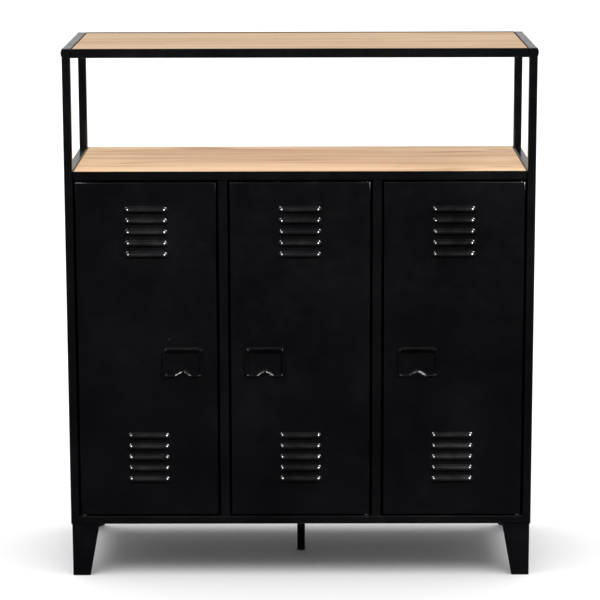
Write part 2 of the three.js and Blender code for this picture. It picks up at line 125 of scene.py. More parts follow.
class HandleSettings(bpy.types.PropertyGroup):
    """Rolled backplate and drop ring"""
    corner: length("Plate corner", "Radius of the backplate's upper corners", 10.0)
    roll: length("Roll", "Outside radius of the rolled lower edge", 4.9)
    roll_rise: length("Roll rise", "Middle of the roll above the ring's axis", 1.5)
    wire: length("Wire", "Diameter of the ring's wire", 3.2)
    bend: length("Ring corner", "Corner of the ring's centreline", 7.0)
    notch_width: length("Notch width", "Width of the finger notch", 35.0)
    notch_height: length("Notch height", "Height of the finger notch", 10.0)
    end_gap: length("End gap", "Between the wire's ends inside the roll", 1.0)


class BoardSettings(bpy.types.PropertyGroup):
    """Oak decor of the two boards"""
    edge: length("Edge", "Radius of the boards' edges", 0.8)
    light: tone("Light oak", "Colour of the early wood", (0.585, 0.405, 0.255))
    warm: tone("Warm oak", "Colour of the late wood", (0.455, 0.292, 0.168))
    streak: tone("Streak", "Colour of dark streaks and knots", (0.27, 0.135, 0.062))


class StageSettings(bpy.types.PropertyGroup):
    """Floor, lights and camera"""
    floor: tone("Floor", "Colour of the studio floor", (0.94, 0.94, 0.94))
    surround: share("Surround", "Brightness of the studio round the object", 0.52)
    key: bpy.props.FloatProperty(name="Key", description="Power of the key light", default=620.0,
                                 min=0.0, subtype="POWER")
    overhead: bpy.props.FloatProperty(name="Overhead", description="Strength of the soft overhead light",
                                      default=2.75, min=0.0)
    shelf: bpy.props.FloatProperty(name="Shelf", description="Power of the light on the middle board",
                                   default=262.0, min=0.0, subtype="POWER")
    lens: bpy.props.FloatProperty(name="Lens", description="Focal length", default=149.9, min=1.0,
                                  unit="CAMERA")


# ---- places taken from the frame --------------------------------------------------------------
def span(node, axis):
    """Lowest and highest coordinate of a node along x, y or z."""
    low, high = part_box(node)
    return getattr(low, axis), getattr(high, axis)


def middle(node):
    low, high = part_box(node)
    return (low + high) / 2


# ---- outlines ---------------------------------------------------------------------------------
def rounded_line(points, radius_at, closed=False, steps=5):
    """Points of a line with rounded corners, each with the unit normal on its left."""
    points = [Vector(p) for p in points]
    made = []
    count = len(points)
    for i, corner in enumerate(points):
        before = points[i - 1] if closed or i > 0 else None
        after = points[(i + 1) % count] if closed or i < count - 1 else None
        if before is None or after is None:
            along = (after - corner if before is None else corner - before).normalized()
            made.append((corner, Vector((-along.y, along.x))))
            continue
        into = (corner - before).normalized()
        out = (after - corner).normalized()
        turn = math.atan2(into.x * out.y - into.y * out.x, into.dot(out))
        radius = radius_at(turn, i)
        side = math.copysign(1.0, turn)
        left = Vector((-into.y, into.x))
        start = corner - into * radius * math.tan(abs(turn) / 2)
        centre = start + left * side * radius
        for k in range(steps + 1):
            normal = left.copy()
            normal.rotate(Matrix.Rotation(turn * k / steps, 2))
            made.append((centre - normal * side * radius, normal))
    return made


def rounded_rect(width, height, radius, centre=(0.0, 0.0), steps=6):
    """Closed outline of a rectangle; radius is one number or one for each corner from lower left."""
    a = width / 2
    b = height / 2
    corners = [(-a, -b), (a, -b), (a, b), (-a, b)]
    radii = radius if isinstance(radius, (list, tuple)) else [radius] * 4
    line = rounded_line(corners, lambda turn, i: radii[i], True, steps)
    return [point + Vector(centre) for point, normal in line]


def folded(path, thickness, bend):
    """Closed outline of sheet bent along a path, the sheet lying on the path's left."""
    line = rounded_line(path, lambda turn, i: bend + thickness if turn > 0 else bend)
    near = [point for point, normal in line]
    far = [point + normal * thickness for point, normal in line]
    return near + far[::-1]


def lay(outline, level, plane="XY"):
    """Places an outline in a plane, at a level along the third axis."""
    first, second, third = PLANES[plane]
    ring = []
    for u, v in outline:
        point = Vector((0, 0, 0))
        point[first] = u
        point[second] = v
        point[third] = level
        ring.append(point)
    return ring


# ---- skins: each is a pair of points and faces --------------------------------------------------
def loft(rings, joined=False):
    """Skin over rings of equally many points, its ends capped, or its last ring joined to its first."""
    size = len(rings[0])
    points = [point for ring in rings for point in ring]
    faces = []
    for i in range(len(rings) if joined else len(rings) - 1):
        a = i * size
        b = (i + 1) % len(rings) * size
        faces += [(a + k, a + (k + 1) % size, b + (k + 1) % size, b + k) for k in range(size)]
    if not joined:
        last = (len(rings) - 1) * size
        faces.append(tuple(reversed(range(size))))
        faces.append(tuple(range(last, last + size)))
    return points, faces


def prism(outline, ends, plane="XY"):
    return loft([lay(outline, level, plane) for level in ends])


def tube(low, high, plane, steel):
    """Square tube filling a box, open at both ends."""
    first, second, third = PLANES[plane]
    size = high - low
    centre = ((low[first] + high[first]) / 2, (low[second] + high[second]) / 2)
    wall = steel.tube_wall
    radius = steel.tube_radius
    outside = rounded_rect(size[first], size[second], radius, centre)
    inside = rounded_rect(size[first] - 2 * wall, size[second] - 2 * wall, radius - wall, centre)
    ends = (low[third], high[third])
    rings = [lay(outside, ends[0], plane), lay(outside, ends[1], plane)]
    rings += [lay(inside, ends[1], plane), lay(inside, ends[0], plane)]
    return loft(rings, joined=True)


def turns(sides):
    """Cosine and sine of evenly spaced directions round a circle."""
    angles = [2 * math.pi * k / sides for k in range(sides)]
    return [(math.cos(a), math.sin(a)) for a in angles]


def turned(profile, centre, joined=False):
    """Skin turned about the vertical axis from (radius, level) pairs."""
    rings = [[Vector((radius * c, radius * s, level)) + centre for c, s in turns(32)]
             for radius, level in profile]
    return loft(rings, joined)


def pan(us, vs, depth, lip, radius, put):
    """Open skin of a folded sheet pan: a face gridded by us and vs, rounded over to its sides and
    lips. us and vs end on the pan's outer edges; put places (u, v, w), w standing out of the face."""
    low_u, high_u, low_v, high_v = us[0], us[-1], vs[0], vs[-1]
    columns = [low_u + radius] + list(us[1:-1]) + [high_u - radius]
    rows = [low_v + radius] + list(vs[1:-1]) + [high_v - radius]
    points = [put(u, v, 0.0) for v in rows for u in columns]
    wide = len(columns)
    tall = len(rows)
    faces = []
    for j in range(tall - 1):
        for i in range(wide - 1):
            a = j * wide + i
            faces.append((a, a + 1, a + wide + 1, a + wide))
    edge = [(i, 0) for i in range(wide)] + [(wide - 1, j) for j in range(1, tall)]
    edge += [(i, tall - 1) for i in reversed(range(wide - 1))]
    edge += [(0, j) for j in reversed(range(1, tall - 1))]
    curve = [(radius * (1 - math.sin(a)), radius * (1 - math.cos(a)))
             for a in (math.pi / 8 * k for k in range(5))]
    fold = curve[1:] + [(over, depth - in_by) for in_by, over in curve] + [(lip, depth)]
    previous = [j * wide + i for i, j in edge]
    for inset, drop in fold:
        ring = []
        for i, j in edge:
            u = min(max(columns[i], low_u + inset), high_u - inset)
            v = min(max(rows[j], low_v + inset), high_v - inset)
            u = low_u + inset if i == 0 else high_u - inset if i == wide - 1 else u
            v = low_v + inset if j == 0 else high_v - inset if j == tall - 1 else v
            ring.append(len(points))
            points.append(put(u, v, -drop))
        size = len(ring)
        for k in range(size):
            m = (k + 1) % size
            faces.append((previous[m], previous[k], ring[k], ring[m]))
        previous = ring
    return points, faces


# ---- pieces -----------------------------------------------------------------------------------
def raw_piece(name, skins, material, closed=True):
    """An object made of skins; faces of closed skins are turned outwards."""
    mesh = bpy.data.meshes.new(name)
    work = bmesh.new()
    for points, faces in skins:
        made = [work.verts.new(point) for point in points]
        for face in faces:
            work.faces.new([made[i] for i in face])
    if closed:
        bmesh.ops.recalc_face_normals(work, faces=work.faces)
    work.to_mesh(mesh)
    work.free()
    mesh.materials.append(material)
    mesh.shade_smooth()
    piece = bpy.data.objects.new(name, mesh)
    bpy.context.scene.collection.objects.link(piece)
    return piece


def thicken(piece, thickness):
    wall = piece.modifiers.new("Sheet", "SOLIDIFY")
    wall.thickness = thickness
    wall.offset = -1.0
    wall.use_even_offset = True


def soften(piece, width, segments=2, angle=50.0):
    """Eases the edges sharper than an angle and keeps flat faces flat in shading."""
    bevel = piece.modifiers.new("Eased edges", "BEVEL")
    bevel.width = width
    bevel.segments = segments
    bevel.limit_method = "ANGLE"
    bevel.angle_limit = math.radians(angle)
    bevel.use_clamp_overlap = False
    flat = piece.modifiers.new("Flat faces", "WEIGHTED_NORMAL")
    flat.keep_sharp = True
    flat.weight = 80


def settle(piece):
    """Turns a piece with modifiers into one plain mesh."""
    bpy.context.view_layer.update()
    graph = bpy.context.evaluated_depsgraph_get()
    mesh = bpy.data.meshes.new_from_object(piece.evaluated_get(graph), depsgraph=graph)
    rough = piece.data
    piece.modifiers.clear()
    piece.data = mesh
    bpy.data.meshes.remove(rough)
    mesh.name = piece.name
    return piece


def mount(piece, body, slot, *nodes):
    """Gives a finished piece its body, its finish and the CAD nodes it stands for."""
    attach(piece, body)
    if slot != "oak_board":
        painted(piece)
    if nodes:
        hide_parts(*nodes)
    return piece


def painted(piece):
    """Puts a black piece among those that the key light reaches."""
    known = bpy.data.collections.get(KEY_LIT)
    if known is None:
        known = bpy.data.collections.new(KEY_LIT)
        bpy.context.scene.collection.children.link(known)
    if piece.name not in known.objects:
        known.objects.link(piece)


def finish(piece, ease, body, slot, *nodes, segments=2, angle=50.0):
    """Eases a piece's edges, makes it one plain mesh and mounts it."""
    soften(piece, ease, segments, angle)
    settle(piece)
    return mount(piece, body, slot, *nodes)


def steel_piece(name, skins, body, *nodes, edge=None):
    """A black steel piece with eased edges."""
    steel = bpy.context.scene.sideboard_steel
    piece = raw_piece(name, skins, black_coat())
    return finish(piece, steel.edge if edge is None else edge, body, "black_steel", *nodes)


def flatten(piece):
    """Keeps a piece's flat faces flat in shading and makes it one plain mesh."""
    flat = piece.modifiers.new("Flat faces", "WEIGHTED_NORMAL")
    flat.weight = 80
    return settle(piece)


def points_piece(name, points, edges=()):
    """An object of bare points or edges for a geometry tree to build on."""
    mesh = bpy.data.meshes.new(name)
    mesh.from_pydata(points, edges, [])
    piece = bpy.data.objects.new(name, mesh)
    bpy.context.scene.collection.objects.link(piece)
    return piece


# ---- node helpers -----------------------------------------------------------------------------
def node(tree, kind, links=None, **settings):
    """Adds a node; links gives each named or numbered input a socket to follow or a value."""
    made = tree.nodes.new(kind)
    for key, value in settings.items():
        setattr(made, key, value)
    for key, value in (links or {}).items():
        if isinstance(value, bpy.types.NodeSocket):
            tree.links.new(value, made.inputs[key])
        else:
            made.inputs[key].default_value = value
    return made


def calc(tree, operation, *values, clamp=False):
    """One step of arithmetic in a shader or geometry tree."""
    links = dict(enumerate(values))
    return node(tree, "ShaderNodeMath", links, operation=operation, use_clamp=clamp).outputs[0]


def ramp_between(tree, value, low, high):
    """Goes smoothly from 0 to 1 while the value goes from low to high."""
    links = {"Value": value, "From Min": low, "From Max": high}
    return node(tree, "ShaderNodeMapRange", links, interpolation_type="SMOOTHSTEP").outputs["Result"]


def noise(tree, place, scale, detail=2.0, stretch=(1.0, 1.0, 1.0), offset=(0.0, 0.0, 0.0),
          roughness=0.5):
    """Noise between 0 and 1 over a stretched place."""
    mapping = node(tree, "ShaderNodeMapping", {"Vector": place, "Scale": stretch, "Location": offset})
    links = {"Vector": mapping.outputs[0], "Scale": scale, "Detail": detail, "Roughness": roughness}
    return node(tree, "ShaderNodeTexNoise", links).outputs["Fac"]


def blend(tree, factor, first, second):
    """Colour between two colours."""
    links = {"Factor": factor, 6: first, 7: second}
    return node(tree, "ShaderNodeMix", links, data_type="RGBA").outputs[2]


def colour(values):
    return (*values, 1.0)


def shared(store, name):
    """Makes a builder give back the material or tree of this name if it has been built."""
    def keep(build):
        def get():
            return getattr(bpy.data, store).get(name) or build(name)
        get.__doc__ = build.__doc__
        return get
    return keep


def shader_group(name, inputs, outputs):
    """An empty shader group with its number sockets, and its input and output nodes."""
    tree = bpy.data.node_groups.new(name, "ShaderNodeTree")
    for label, default in inputs:
        tree.interface.new_socket(label, in_out="INPUT", socket_type=FLOAT).default_value = default
    for label in outputs:
        tree.interface.new_socket(label, in_out="OUTPUT", socket_type=FLOAT)
    return tree, tree.nodes.new("NodeGroupInput").outputs, tree.nodes.new("NodeGroupOutput").inputs


def new_material(name):
    """A material with its tree, its shader and its object coordinates."""
    material = bpy.data.materials.new(name)
    material.use_nodes = True
    tree = material.node_tree
    place = tree.nodes.new("ShaderNodeTexCoord").outputs["Object"]
    return material, tree, tree.nodes["Principled BSDF"], place


def surface(tree, shader, bump_height=None, strength=0.2, distance=0.0003, **sockets):
    """Sets or links the shader's sockets and gives it bump."""
    for label, value in sockets.items():
        socket = shader.inputs[label.replace("_", " ")]
        if isinstance(value, bpy.types.NodeSocket):
            tree.links.new(value, socket)
        else:
            socket.default_value = value
    if bump_height is not None:
        links = {"Height": bump_height, "Strength": strength, "Distance": distance}
        bump = node(tree, "ShaderNodeBump", links)
        tree.links.new(bump.outputs["Normal"], shader.inputs["Normal"])


# ---- finishes ---------------------------------------------------------------------------------
@shared("node_groups", "Coat texture")
def coat_texture(name):
    """Orange peel, cloudiness and fine speckle of powder coat, shared by the painted pieces."""
    tree, given, out = shader_group(name, [("Roughness Low", 0.22), ("Roughness High", 0.34)],
                                    ("Cloud", "Speckle", "Roughness", "Height"))
    place = tree.nodes.new("ShaderNodeTexCoord").outputs["Object"]
    cloud = noise(tree, place, 5.0, 3.0)
    peel = noise(tree, place, 420.0, 1.5)
    speckle = noise(tree, place, 1500.0, 2.0)
    worn = noise(tree, place, 38.0, 4.0, roughness=0.65)
    mixed = calc(tree, "MULTIPLY_ADD", worn, 0.6, calc(tree, "MULTIPLY", cloud, 0.4))
    shifted = node(tree, "ShaderNodeMapRange", {
        "Value": mixed, "From Min": 0.35, "From Max": 0.65,
        "To Min": given["Roughness Low"], "To Max": given["Roughness High"]})
    height = calc(tree, "MULTIPLY_ADD", speckle, 0.25, peel)
    for label, value in (("Cloud", cloud), ("Speckle", speckle),
                         ("Roughness", shifted.outputs["Result"]), ("Height", height)):
        tree.links.new(value, out[label])
    return tree


@shared("materials", "Black powder coat")
def black_coat(name):
    """Satin black powder coat."""
    steel = bpy.context.scene.sideboard_steel
    material, tree, shader, place = new_material(name)
    texture = node(tree, "ShaderNodeGroup", node_tree=coat_texture())
    texture.inputs["Roughness Low"].default_value = steel.roughness - 0.05
    texture.inputs["Roughness High"].default_value = steel.roughness + 0.07
    patchy = calc(tree, "MULTIPLY_ADD", texture.outputs["Speckle"], 0.5,
                  calc(tree, "MULTIPLY", texture.outputs["Cloud"], 0.5))
    thin = ramp_between(tree, patchy, 0.38, 0.62)
    tint = blend(tree, thin, colour(steel.coat), colour(steel.coat_high))
    surface(tree, shader, texture.outputs["Height"], 0.10, 0.0002, Base_Color=tint,
            Roughness=texture.outputs["Roughness"], Specular_IOR_Level=0.8)
    return material


@shared("materials", "Zinc plate")
def zinc_plate(name):
    """Bright zinc with turned and rolled marks."""
    material, tree, shader, place = new_material(name)
    clouds = noise(tree, place, 60.0, 3.0)
    marks = noise(tree, place, 900.0, 2.0, (0.15, 0.15, 1.0))
    tint = blend(tree, clouds, (0.50, 0.52, 0.56, 1.0), (0.68, 0.68, 0.66, 1.0))
    rough = calc(tree, "MULTIPLY_ADD", marks, 0.25, 0.22)
    surface(tree, shader, marks, 0.25, 0.0001, Base_Color=tint, Roughness=rough, Metallic=1.0)
    return material


@shared("materials", "Black plastic")
def black_plastic(name):
    """Moulded plastic with a fine spark-eroded grain."""
    material, tree, shader, place = new_material(name)
    grain = noise(tree, place, 1100.0, 3.0)
    cloud = noise(tree, place, 25.0, 2.0)
    tint = blend(tree, cloud, (0.006, 0.006, 0.0065, 1.0), (0.011, 0.011, 0.0115, 1.0))
    rough = calc(tree, "MULTIPLY_ADD", grain, 0.2, 0.4)
    surface(tree, shader, grain, 0.3, 0.0002, Base_Color=tint, Roughness=rough)
    return material


@shared("node_groups", "Oak grain")
def oak_grain(name):
    """Grain along X: bands, fibres, pores and dark streaks, with the place bent round knots."""
    tree, given, out = shader_group(name, [("Shift", 0.0), ("Knot Pull", 0.0)],
                                    ("Band", "Fibre", "Streak", "Pore"))
    place = tree.nodes.new("ShaderNodeTexCoord").outputs["Object"]
    split = node(tree, "ShaderNodeSeparateXYZ", {0: place})
    wander = noise(tree, place, 1.0, 3.0, (1.9, 6.0, 1.0))
    drift = calc(tree, "MULTIPLY_ADD", calc(tree, "SUBTRACT", wander, 0.5), 0.05, split.outputs[1])
    pulled = calc(tree, "ADD", drift, given["Knot Pull"])
    along = calc(tree, "ADD", split.outputs[0], given["Shift"])
    bent = node(tree, "ShaderNodeCombineXYZ", {0: along, 1: pulled, 2: split.outputs[2]}).outputs[0]
    band = noise(tree, bent, 1.0, 2.5, (1.4, 34.0, 34.0))
    fibre = noise(tree, bent, 1.0, 4.0, (5.0, 210.0, 210.0), roughness=0.6)
    streaks = noise(tree, bent, 1.0, 3.0, (4.2, 48.0, 30.0), (3.1, 1.7, 0.0))
    patches = noise(tree, bent, 1.0, 1.0, (2.6, 9.0, 1.0), (0.4, 5.2, 0.0))
    gate = ramp_between(tree, patches, 0.46, 0.66)
    streak = calc(tree, "MULTIPLY", ramp_between(tree, streaks, 0.53, 0.68), gate)
    pore = ramp_between(tree, noise(tree, bent, 1.0, 2.0, (26.0, 900.0, 900.0)), 0.56, 0.72)
    for label, value in (("Band", band), ("Fibre", fibre), ("Streak", streak), ("Pore", pore)):
        tree.links.new(value, out[label])
    return tree


def knot(tree, place, centre, reach):
    """Dark heart, rings and sideways pull of the grain round one knot."""
    mapping = node(tree, "ShaderNodeMapping", {
        "Vector": place, "Scale": [1 / r for r in reach],
        "Location": [-c / r for c, r in zip(centre, reach)]})
    flat = node(tree, "ShaderNodeVectorMath", {0: mapping.outputs[0], 1: (1.0, 1.0, 0.0)},
                operation="MULTIPLY")
    away = node(tree, "ShaderNodeVectorMath", {0: flat.outputs[0]}, operation="LENGTH").outputs["Value"]
    heart = ramp_between(tree, away, 0.55, 0.12)
    rings = calc(tree, "MULTIPLY", calc(tree, "SINE", calc(tree, "MULTIPLY", away, 26.0)),
                 ramp_between(tree, away, 1.0, 0.3))
    side = node(tree, "ShaderNodeSeparateXYZ", {0: flat.outputs[0]}).outputs[1]
    fade = calc(tree, "EXPONENT", calc(tree, "MULTIPLY", calc(tree, "MULTIPLY", away, away), -0.8))
    pull = calc(tree, "MULTIPLY", calc(tree, "MULTIPLY", side, fade), -0.62 * reach[1])
    dark = calc(tree, "MULTIPLY_ADD", rings, 0.16, heart, clamp=True)
    return dark, pull


def oak(name, shift, streaks, shade_browning, knots):
    """Matt light oak decor; knots are (x, y, length, width) in metres."""
    board = bpy.context.scene.sideboard_board
    material, tree, shader, place = new_material(name)
    dark_total = None
    pull_total = None
    for x, y, long, wide in knots:
        dark, pull = knot(tree, place, (x, y, 0.0), (long, wide, 1.0))
        dark_total = dark if dark_total is None else calc(tree, "MAXIMUM", dark_total, dark)
        pull_total = pull if pull_total is None else calc(tree, "ADD", pull_total, pull)
    group = node(tree, "ShaderNodeGroup", node_tree=oak_grain())
    group.inputs["Shift"].default_value = shift
    tree.links.new(pull_total, group.inputs["Knot Pull"])
    grain = group.outputs
    banded = calc(tree, "MULTIPLY_ADD", grain["Fibre"], 0.45, calc(tree, "MULTIPLY", grain["Band"], 0.7))
    # browning shift: more late wood, painted shade on a board lying in shade
    late = ramp_between(tree, banded, 0.52 - shade_browning, 0.68 - shade_browning)
    wood = blend(tree, late, colour(board.light), colour(board.warm))
    darkness = calc(tree, "MULTIPLY_ADD", grain["Streak"], streaks,
                    calc(tree, "MULTIPLY", grain["Pore"], 0.16))
    darkness = calc(tree, "MULTIPLY_ADD", dark_total, 0.75, darkness, clamp=True)
    tint = blend(tree, darkness, wood, colour(board.streak))
    rough = calc(tree, "MULTIPLY_ADD", grain["Fibre"], 0.16, 0.44)
    relief = calc(tree, "SUBTRACT", calc(tree, "MULTIPLY", grain["Fibre"], 0.6), grain["Pore"])
    surface(tree, shader, relief, 0.16, 0.0002, Base_Color=tint, Roughness=rough, Specular_IOR_Level=0.35)
    return material


# ---- geometry nodes ---------------------------------------------------------------------------
def geometry_tree(name, inputs):
    """A geometry tree with a mesh in and out and named inputs, and its input and output nodes."""
    tree = bpy.data.node_groups.new(name, "GeometryNodeTree")
    tree.interface.new_socket("Geometry", in_out="INPUT", socket_type="NodeSocketGeometry")
    for label, kind in inputs:
        tree.interface.new_socket(label, in_out="INPUT", socket_type=kind)
    tree.interface.new_socket("Geometry", in_out="OUTPUT", socket_type="NodeSocketGeometry")
    return tree, tree.nodes.new("NodeGroupInput").outputs, tree.nodes.new("NodeGroupOutput")


def finish_tree(tree, geometry, material, out):
    """Ends a tree in Realize Instances and Set Material."""
    real = node(tree, "GeometryNodeRealizeInstances", {0: geometry})
    painted = node(tree, "GeometryNodeSetMaterial", {"Geometry": real.outputs[0], "Material": material})
    tree.links.new(painted.outputs[0], out.inputs[0])


def apply_tree(piece, tree, values):
    """Adds a geometry tree to a piece with its inputs set by their sockets' identifiers."""
    modifier = piece.modifiers.new(tree.name, "NODES")
    modifier.node_group = tree
    for item in tree.interface.items_tree:
        if item.item_type == "SOCKET" and item.in_out == "INPUT" and item.name in values:
            modifier[item.identifier] = values[item.name]


@shared("node_groups", "Louvre press")
def louvre_tree(name):
    """Presses two groups of louvres into a door's skin: opens the slots and raises the hoods."""
    labels = ("Middle", "Foot", "Width", "Rise", "Reach", "Slot", "Pitch", "Lower", "Upper", "Steps")
    inputs = [(label, FLOAT) for label in labels] + [("Material", MATERIAL)]
    tree, given, out = geometry_tree(name, inputs)
    at = node(tree, "ShaderNodeSeparateXYZ", {0: tree.nodes.new("GeometryNodeInputPosition").outputs[0]})
    x = calc(tree, "ABSOLUTE", calc(tree, "SUBTRACT", at.outputs["X"], given["Middle"]))
    z = calc(tree, "SUBTRACT", at.outputs["Z"], given["Foot"])
    between = calc(tree, "MULTIPLY", calc(tree, "ADD", given["Lower"], given["Upper"]), 0.5)
    is_upper = calc(tree, "GREATER_THAN", z, between)
    gap = calc(tree, "SUBTRACT", given["Upper"], given["Lower"])
    from_lower = calc(tree, "SUBTRACT", z, given["Lower"])
    from_middle = calc(tree, "SUBTRACT", from_lower, calc(tree, "MULTIPLY", gap, is_upper))
    eased = calc(tree, "ADD", from_middle, calc(tree, "MULTIPLY", given["Pitch"], 0.3))
    row = calc(tree, "FLOOR", calc(tree, "DIVIDE", eased, given["Pitch"]))
    low_row = calc(tree, "MULTIPLY", given["Steps"], -1.0)
    row = calc(tree, "MINIMUM", calc(tree, "MAXIMUM", row, low_row), given["Steps"])
    above = calc(tree, "SUBTRACT", from_middle, calc(tree, "MULTIPLY", row, given["Pitch"]))
    t = calc(tree, "DIVIDE", above, given["Rise"])
    straight = calc(tree, "SUBTRACT", calc(tree, "MULTIPLY", given["Width"], 0.5), given["Rise"])
    past = calc(tree, "SUBTRACT", x, straight)
    u = calc(tree, "MAXIMUM", calc(tree, "DIVIDE", past, given["Rise"]), 0.0)
    square = calc(tree, "ADD", calc(tree, "MULTIPLY", u, u), calc(tree, "MULTIPLY", t, t))
    left_over = calc(tree, "MAXIMUM", calc(tree, "SUBTRACT", 1.0, square), 0.0)
    dome = calc(tree, "POWER", left_over, 0.85)
    over_lip = calc(tree, "GREATER_THAN", t, -0.01)
    fold = node(tree, "GeometryNodeInputNamedAttribute", {"Name": "fold"}, data_type="FLOAT")
    on_face = calc(tree, "LESS_THAN", fold.outputs[0], 0.5)
    raised = calc(tree, "MULTIPLY", calc(tree, "MULTIPLY", dome, over_lip), on_face)
    out_by = calc(tree, "MULTIPLY", calc(tree, "MULTIPLY", raised, given["Reach"]), -1.0)
    offset = node(tree, "ShaderNodeCombineXYZ", {1: out_by}).outputs[0]
    in_slot = calc(tree, "MULTIPLY", calc(tree, "LESS_THAN", above, 0.0),
                   calc(tree, "GREATER_THAN", above, calc(tree, "MULTIPLY", given["Slot"], -1.0)))
    slot_end = calc(tree, "ADD", straight, calc(tree, "MULTIPLY", given["Rise"], 0.8))
    in_width = calc(tree, "LESS_THAN", x, slot_end)
    opened = calc(tree, "MULTIPLY", calc(tree, "MULTIPLY", in_slot, in_width), on_face)
    slotted = node(tree, "GeometryNodeDeleteGeometry",
                   {"Geometry": given["Geometry"], "Selection": opened}, domain="FACE")
    pressed = node(tree, "GeometryNodeSetPosition", {"Geometry": slotted.outputs[0], "Offset": offset})
    finish_tree(tree, pressed.outputs[0], given["Material"], out)
    return tree


@shared("node_groups", "Fasteners")
def fastener_tree(name):
    """Domed socket-head screws standing on points, each along the point's aim."""
    labels = ("Head Radius", "Head Height", "Socket Radius", "Socket Depth", "Shank Radius", "Shank Length")
    inputs = [(label, FLOAT) for label in labels]
    inputs += [("Socket Sides", "NodeSocketInt"), ("Material", MATERIAL)]
    tree, given, out = geometry_tree(name, inputs)
    ball = node(tree, "GeometryNodeMeshUVSphere", {"Segments": 28, "Rings": 16, "Radius": 1.0})
    place = tree.nodes.new("GeometryNodeInputPosition").outputs[0]
    size = node(tree, "ShaderNodeCombineXYZ", {
        0: given["Head Radius"], 1: given["Head Radius"], 2: given["Head Height"]})
    scaled = node(tree, "ShaderNodeVectorMath", {0: place, 1: size.outputs[0]}, operation="MULTIPLY")
    flat = node(tree, "ShaderNodeVectorMath", {0: scaled.outputs[0], 1: (-1.0, -1.0, -0.0002)},
                operation="MAXIMUM")
    head = node(tree, "GeometryNodeSetPosition", {"Geometry": ball.outputs[0], "Position": flat.outputs[0]})
    deep = calc(tree, "MULTIPLY", given["Socket Depth"], 2.0)
    socket = node(tree, "GeometryNodeMeshCylinder", {
        "Vertices": given["Socket Sides"], "Radius": given["Socket Radius"], "Depth": deep})
    lift = node(tree, "ShaderNodeCombineXYZ", {2: given["Head Height"]})
    raised = node(tree, "GeometryNodeTransform", {
        "Geometry": socket.outputs[0], "Translation": lift.outputs[0]})
    cut = node(tree, "GeometryNodeMeshBoolean", {"Mesh 1": head.outputs[0]}, operation="DIFFERENCE")
    tree.links.new(raised.outputs[0], cut.inputs[1])
    shank = node(tree, "GeometryNodeMeshCylinder", {
        "Vertices": 16, "Radius": given["Shank Radius"], "Depth": given["Shank Length"]})
    sink = node(tree, "ShaderNodeCombineXYZ", {2: calc(tree, "MULTIPLY", given["Shank Length"], -0.5)})
    sunk = node(tree, "GeometryNodeTransform", {
        "Geometry": shank.outputs[0], "Translation": sink.outputs[0]})
    whole = node(tree, "GeometryNodeJoinGeometry")
    tree.links.new(cut.outputs[0], whole.inputs[0])
    tree.links.new(sunk.outputs[0], whole.inputs[0])
    aim = node(tree, "GeometryNodeInputNamedAttribute", {"Name": "aim"}, data_type="FLOAT_VECTOR")
    turn = node(tree, "FunctionNodeAlignRotationToVector", {"Vector": aim.outputs[0]}, axis="Z")
    copies = node(tree, "GeometryNodeInstanceOnPoints", {
        "Points": given["Geometry"], "Instance": whole.outputs[0], "Rotation": turn.outputs[0]})
    finish_tree(tree, copies.outputs[0], given["Material"], out)
    return tree


@shared("node_groups", "Weld beads")
def weld_tree(name):
    """Rippled weld beads: overlapping flattened drops along edges."""
    inputs = [("Bead Radius", FLOAT), ("Spacing", FLOAT), ("Seed", "NodeSocketInt"),
              ("Material", MATERIAL)]
    tree, given, out = geometry_tree(name, inputs)
    lines = node(tree, "GeometryNodeMeshToCurve", {"Mesh": given["Geometry"]})
    steps = node(tree, "GeometryNodeResampleCurve", {"Curve": lines.outputs[0]}, mode="LENGTH")
    tree.links.new(given["Spacing"], steps.inputs["Length"])
    drop = node(tree, "GeometryNodeMeshIcoSphere", {"Radius": given["Bead Radius"], "Subdivisions": 2})
    vary = node(tree, "FunctionNodeRandomValue", {"Seed": given["Seed"]}, data_type="FLOAT")
    vary.inputs[2].default_value = 0.82
    vary.inputs[3].default_value = 1.1
    copies = node(tree, "GeometryNodeInstanceOnPoints", {
        "Points": steps.outputs[0], "Instance": drop.outputs[0], "Scale": vary.outputs[1]})
    finish_tree(tree, copies.outputs[0], given["Material"], out)
    return tree


def screws(name, places, body, slot, material, head, socket, shank=(1.5, 3.0), sides=6, nodes=()):
    """A set of like screws: places are (point, aim) pairs; head, socket and shank are
    (radius, height or depth) in millimetres."""
    piece = points_piece(name, [point for point, aim in places])
    aims = piece.data.attributes.new("aim", "FLOAT_VECTOR", "POINT")
    aims.data.foreach_set("vector", [value for point, aim in places for value in aim])
    apply_tree(piece, fastener_tree(), {
        "Head Radius": head[0] * MM, "Head Height": head[1] * MM, "Socket Radius": socket[0] * MM,
        "Socket Depth": socket[1] * MM, "Shank Radius": shank[0] * MM, "Shank Length": shank[1] * MM,
        "Socket Sides": sides, "Material": material})
    settle(piece)
    piece.data.shade_smooth()
    piece.data.set_sharp_from_angle(angle=math.radians(38))
    return mount(piece, body, slot, *nodes)


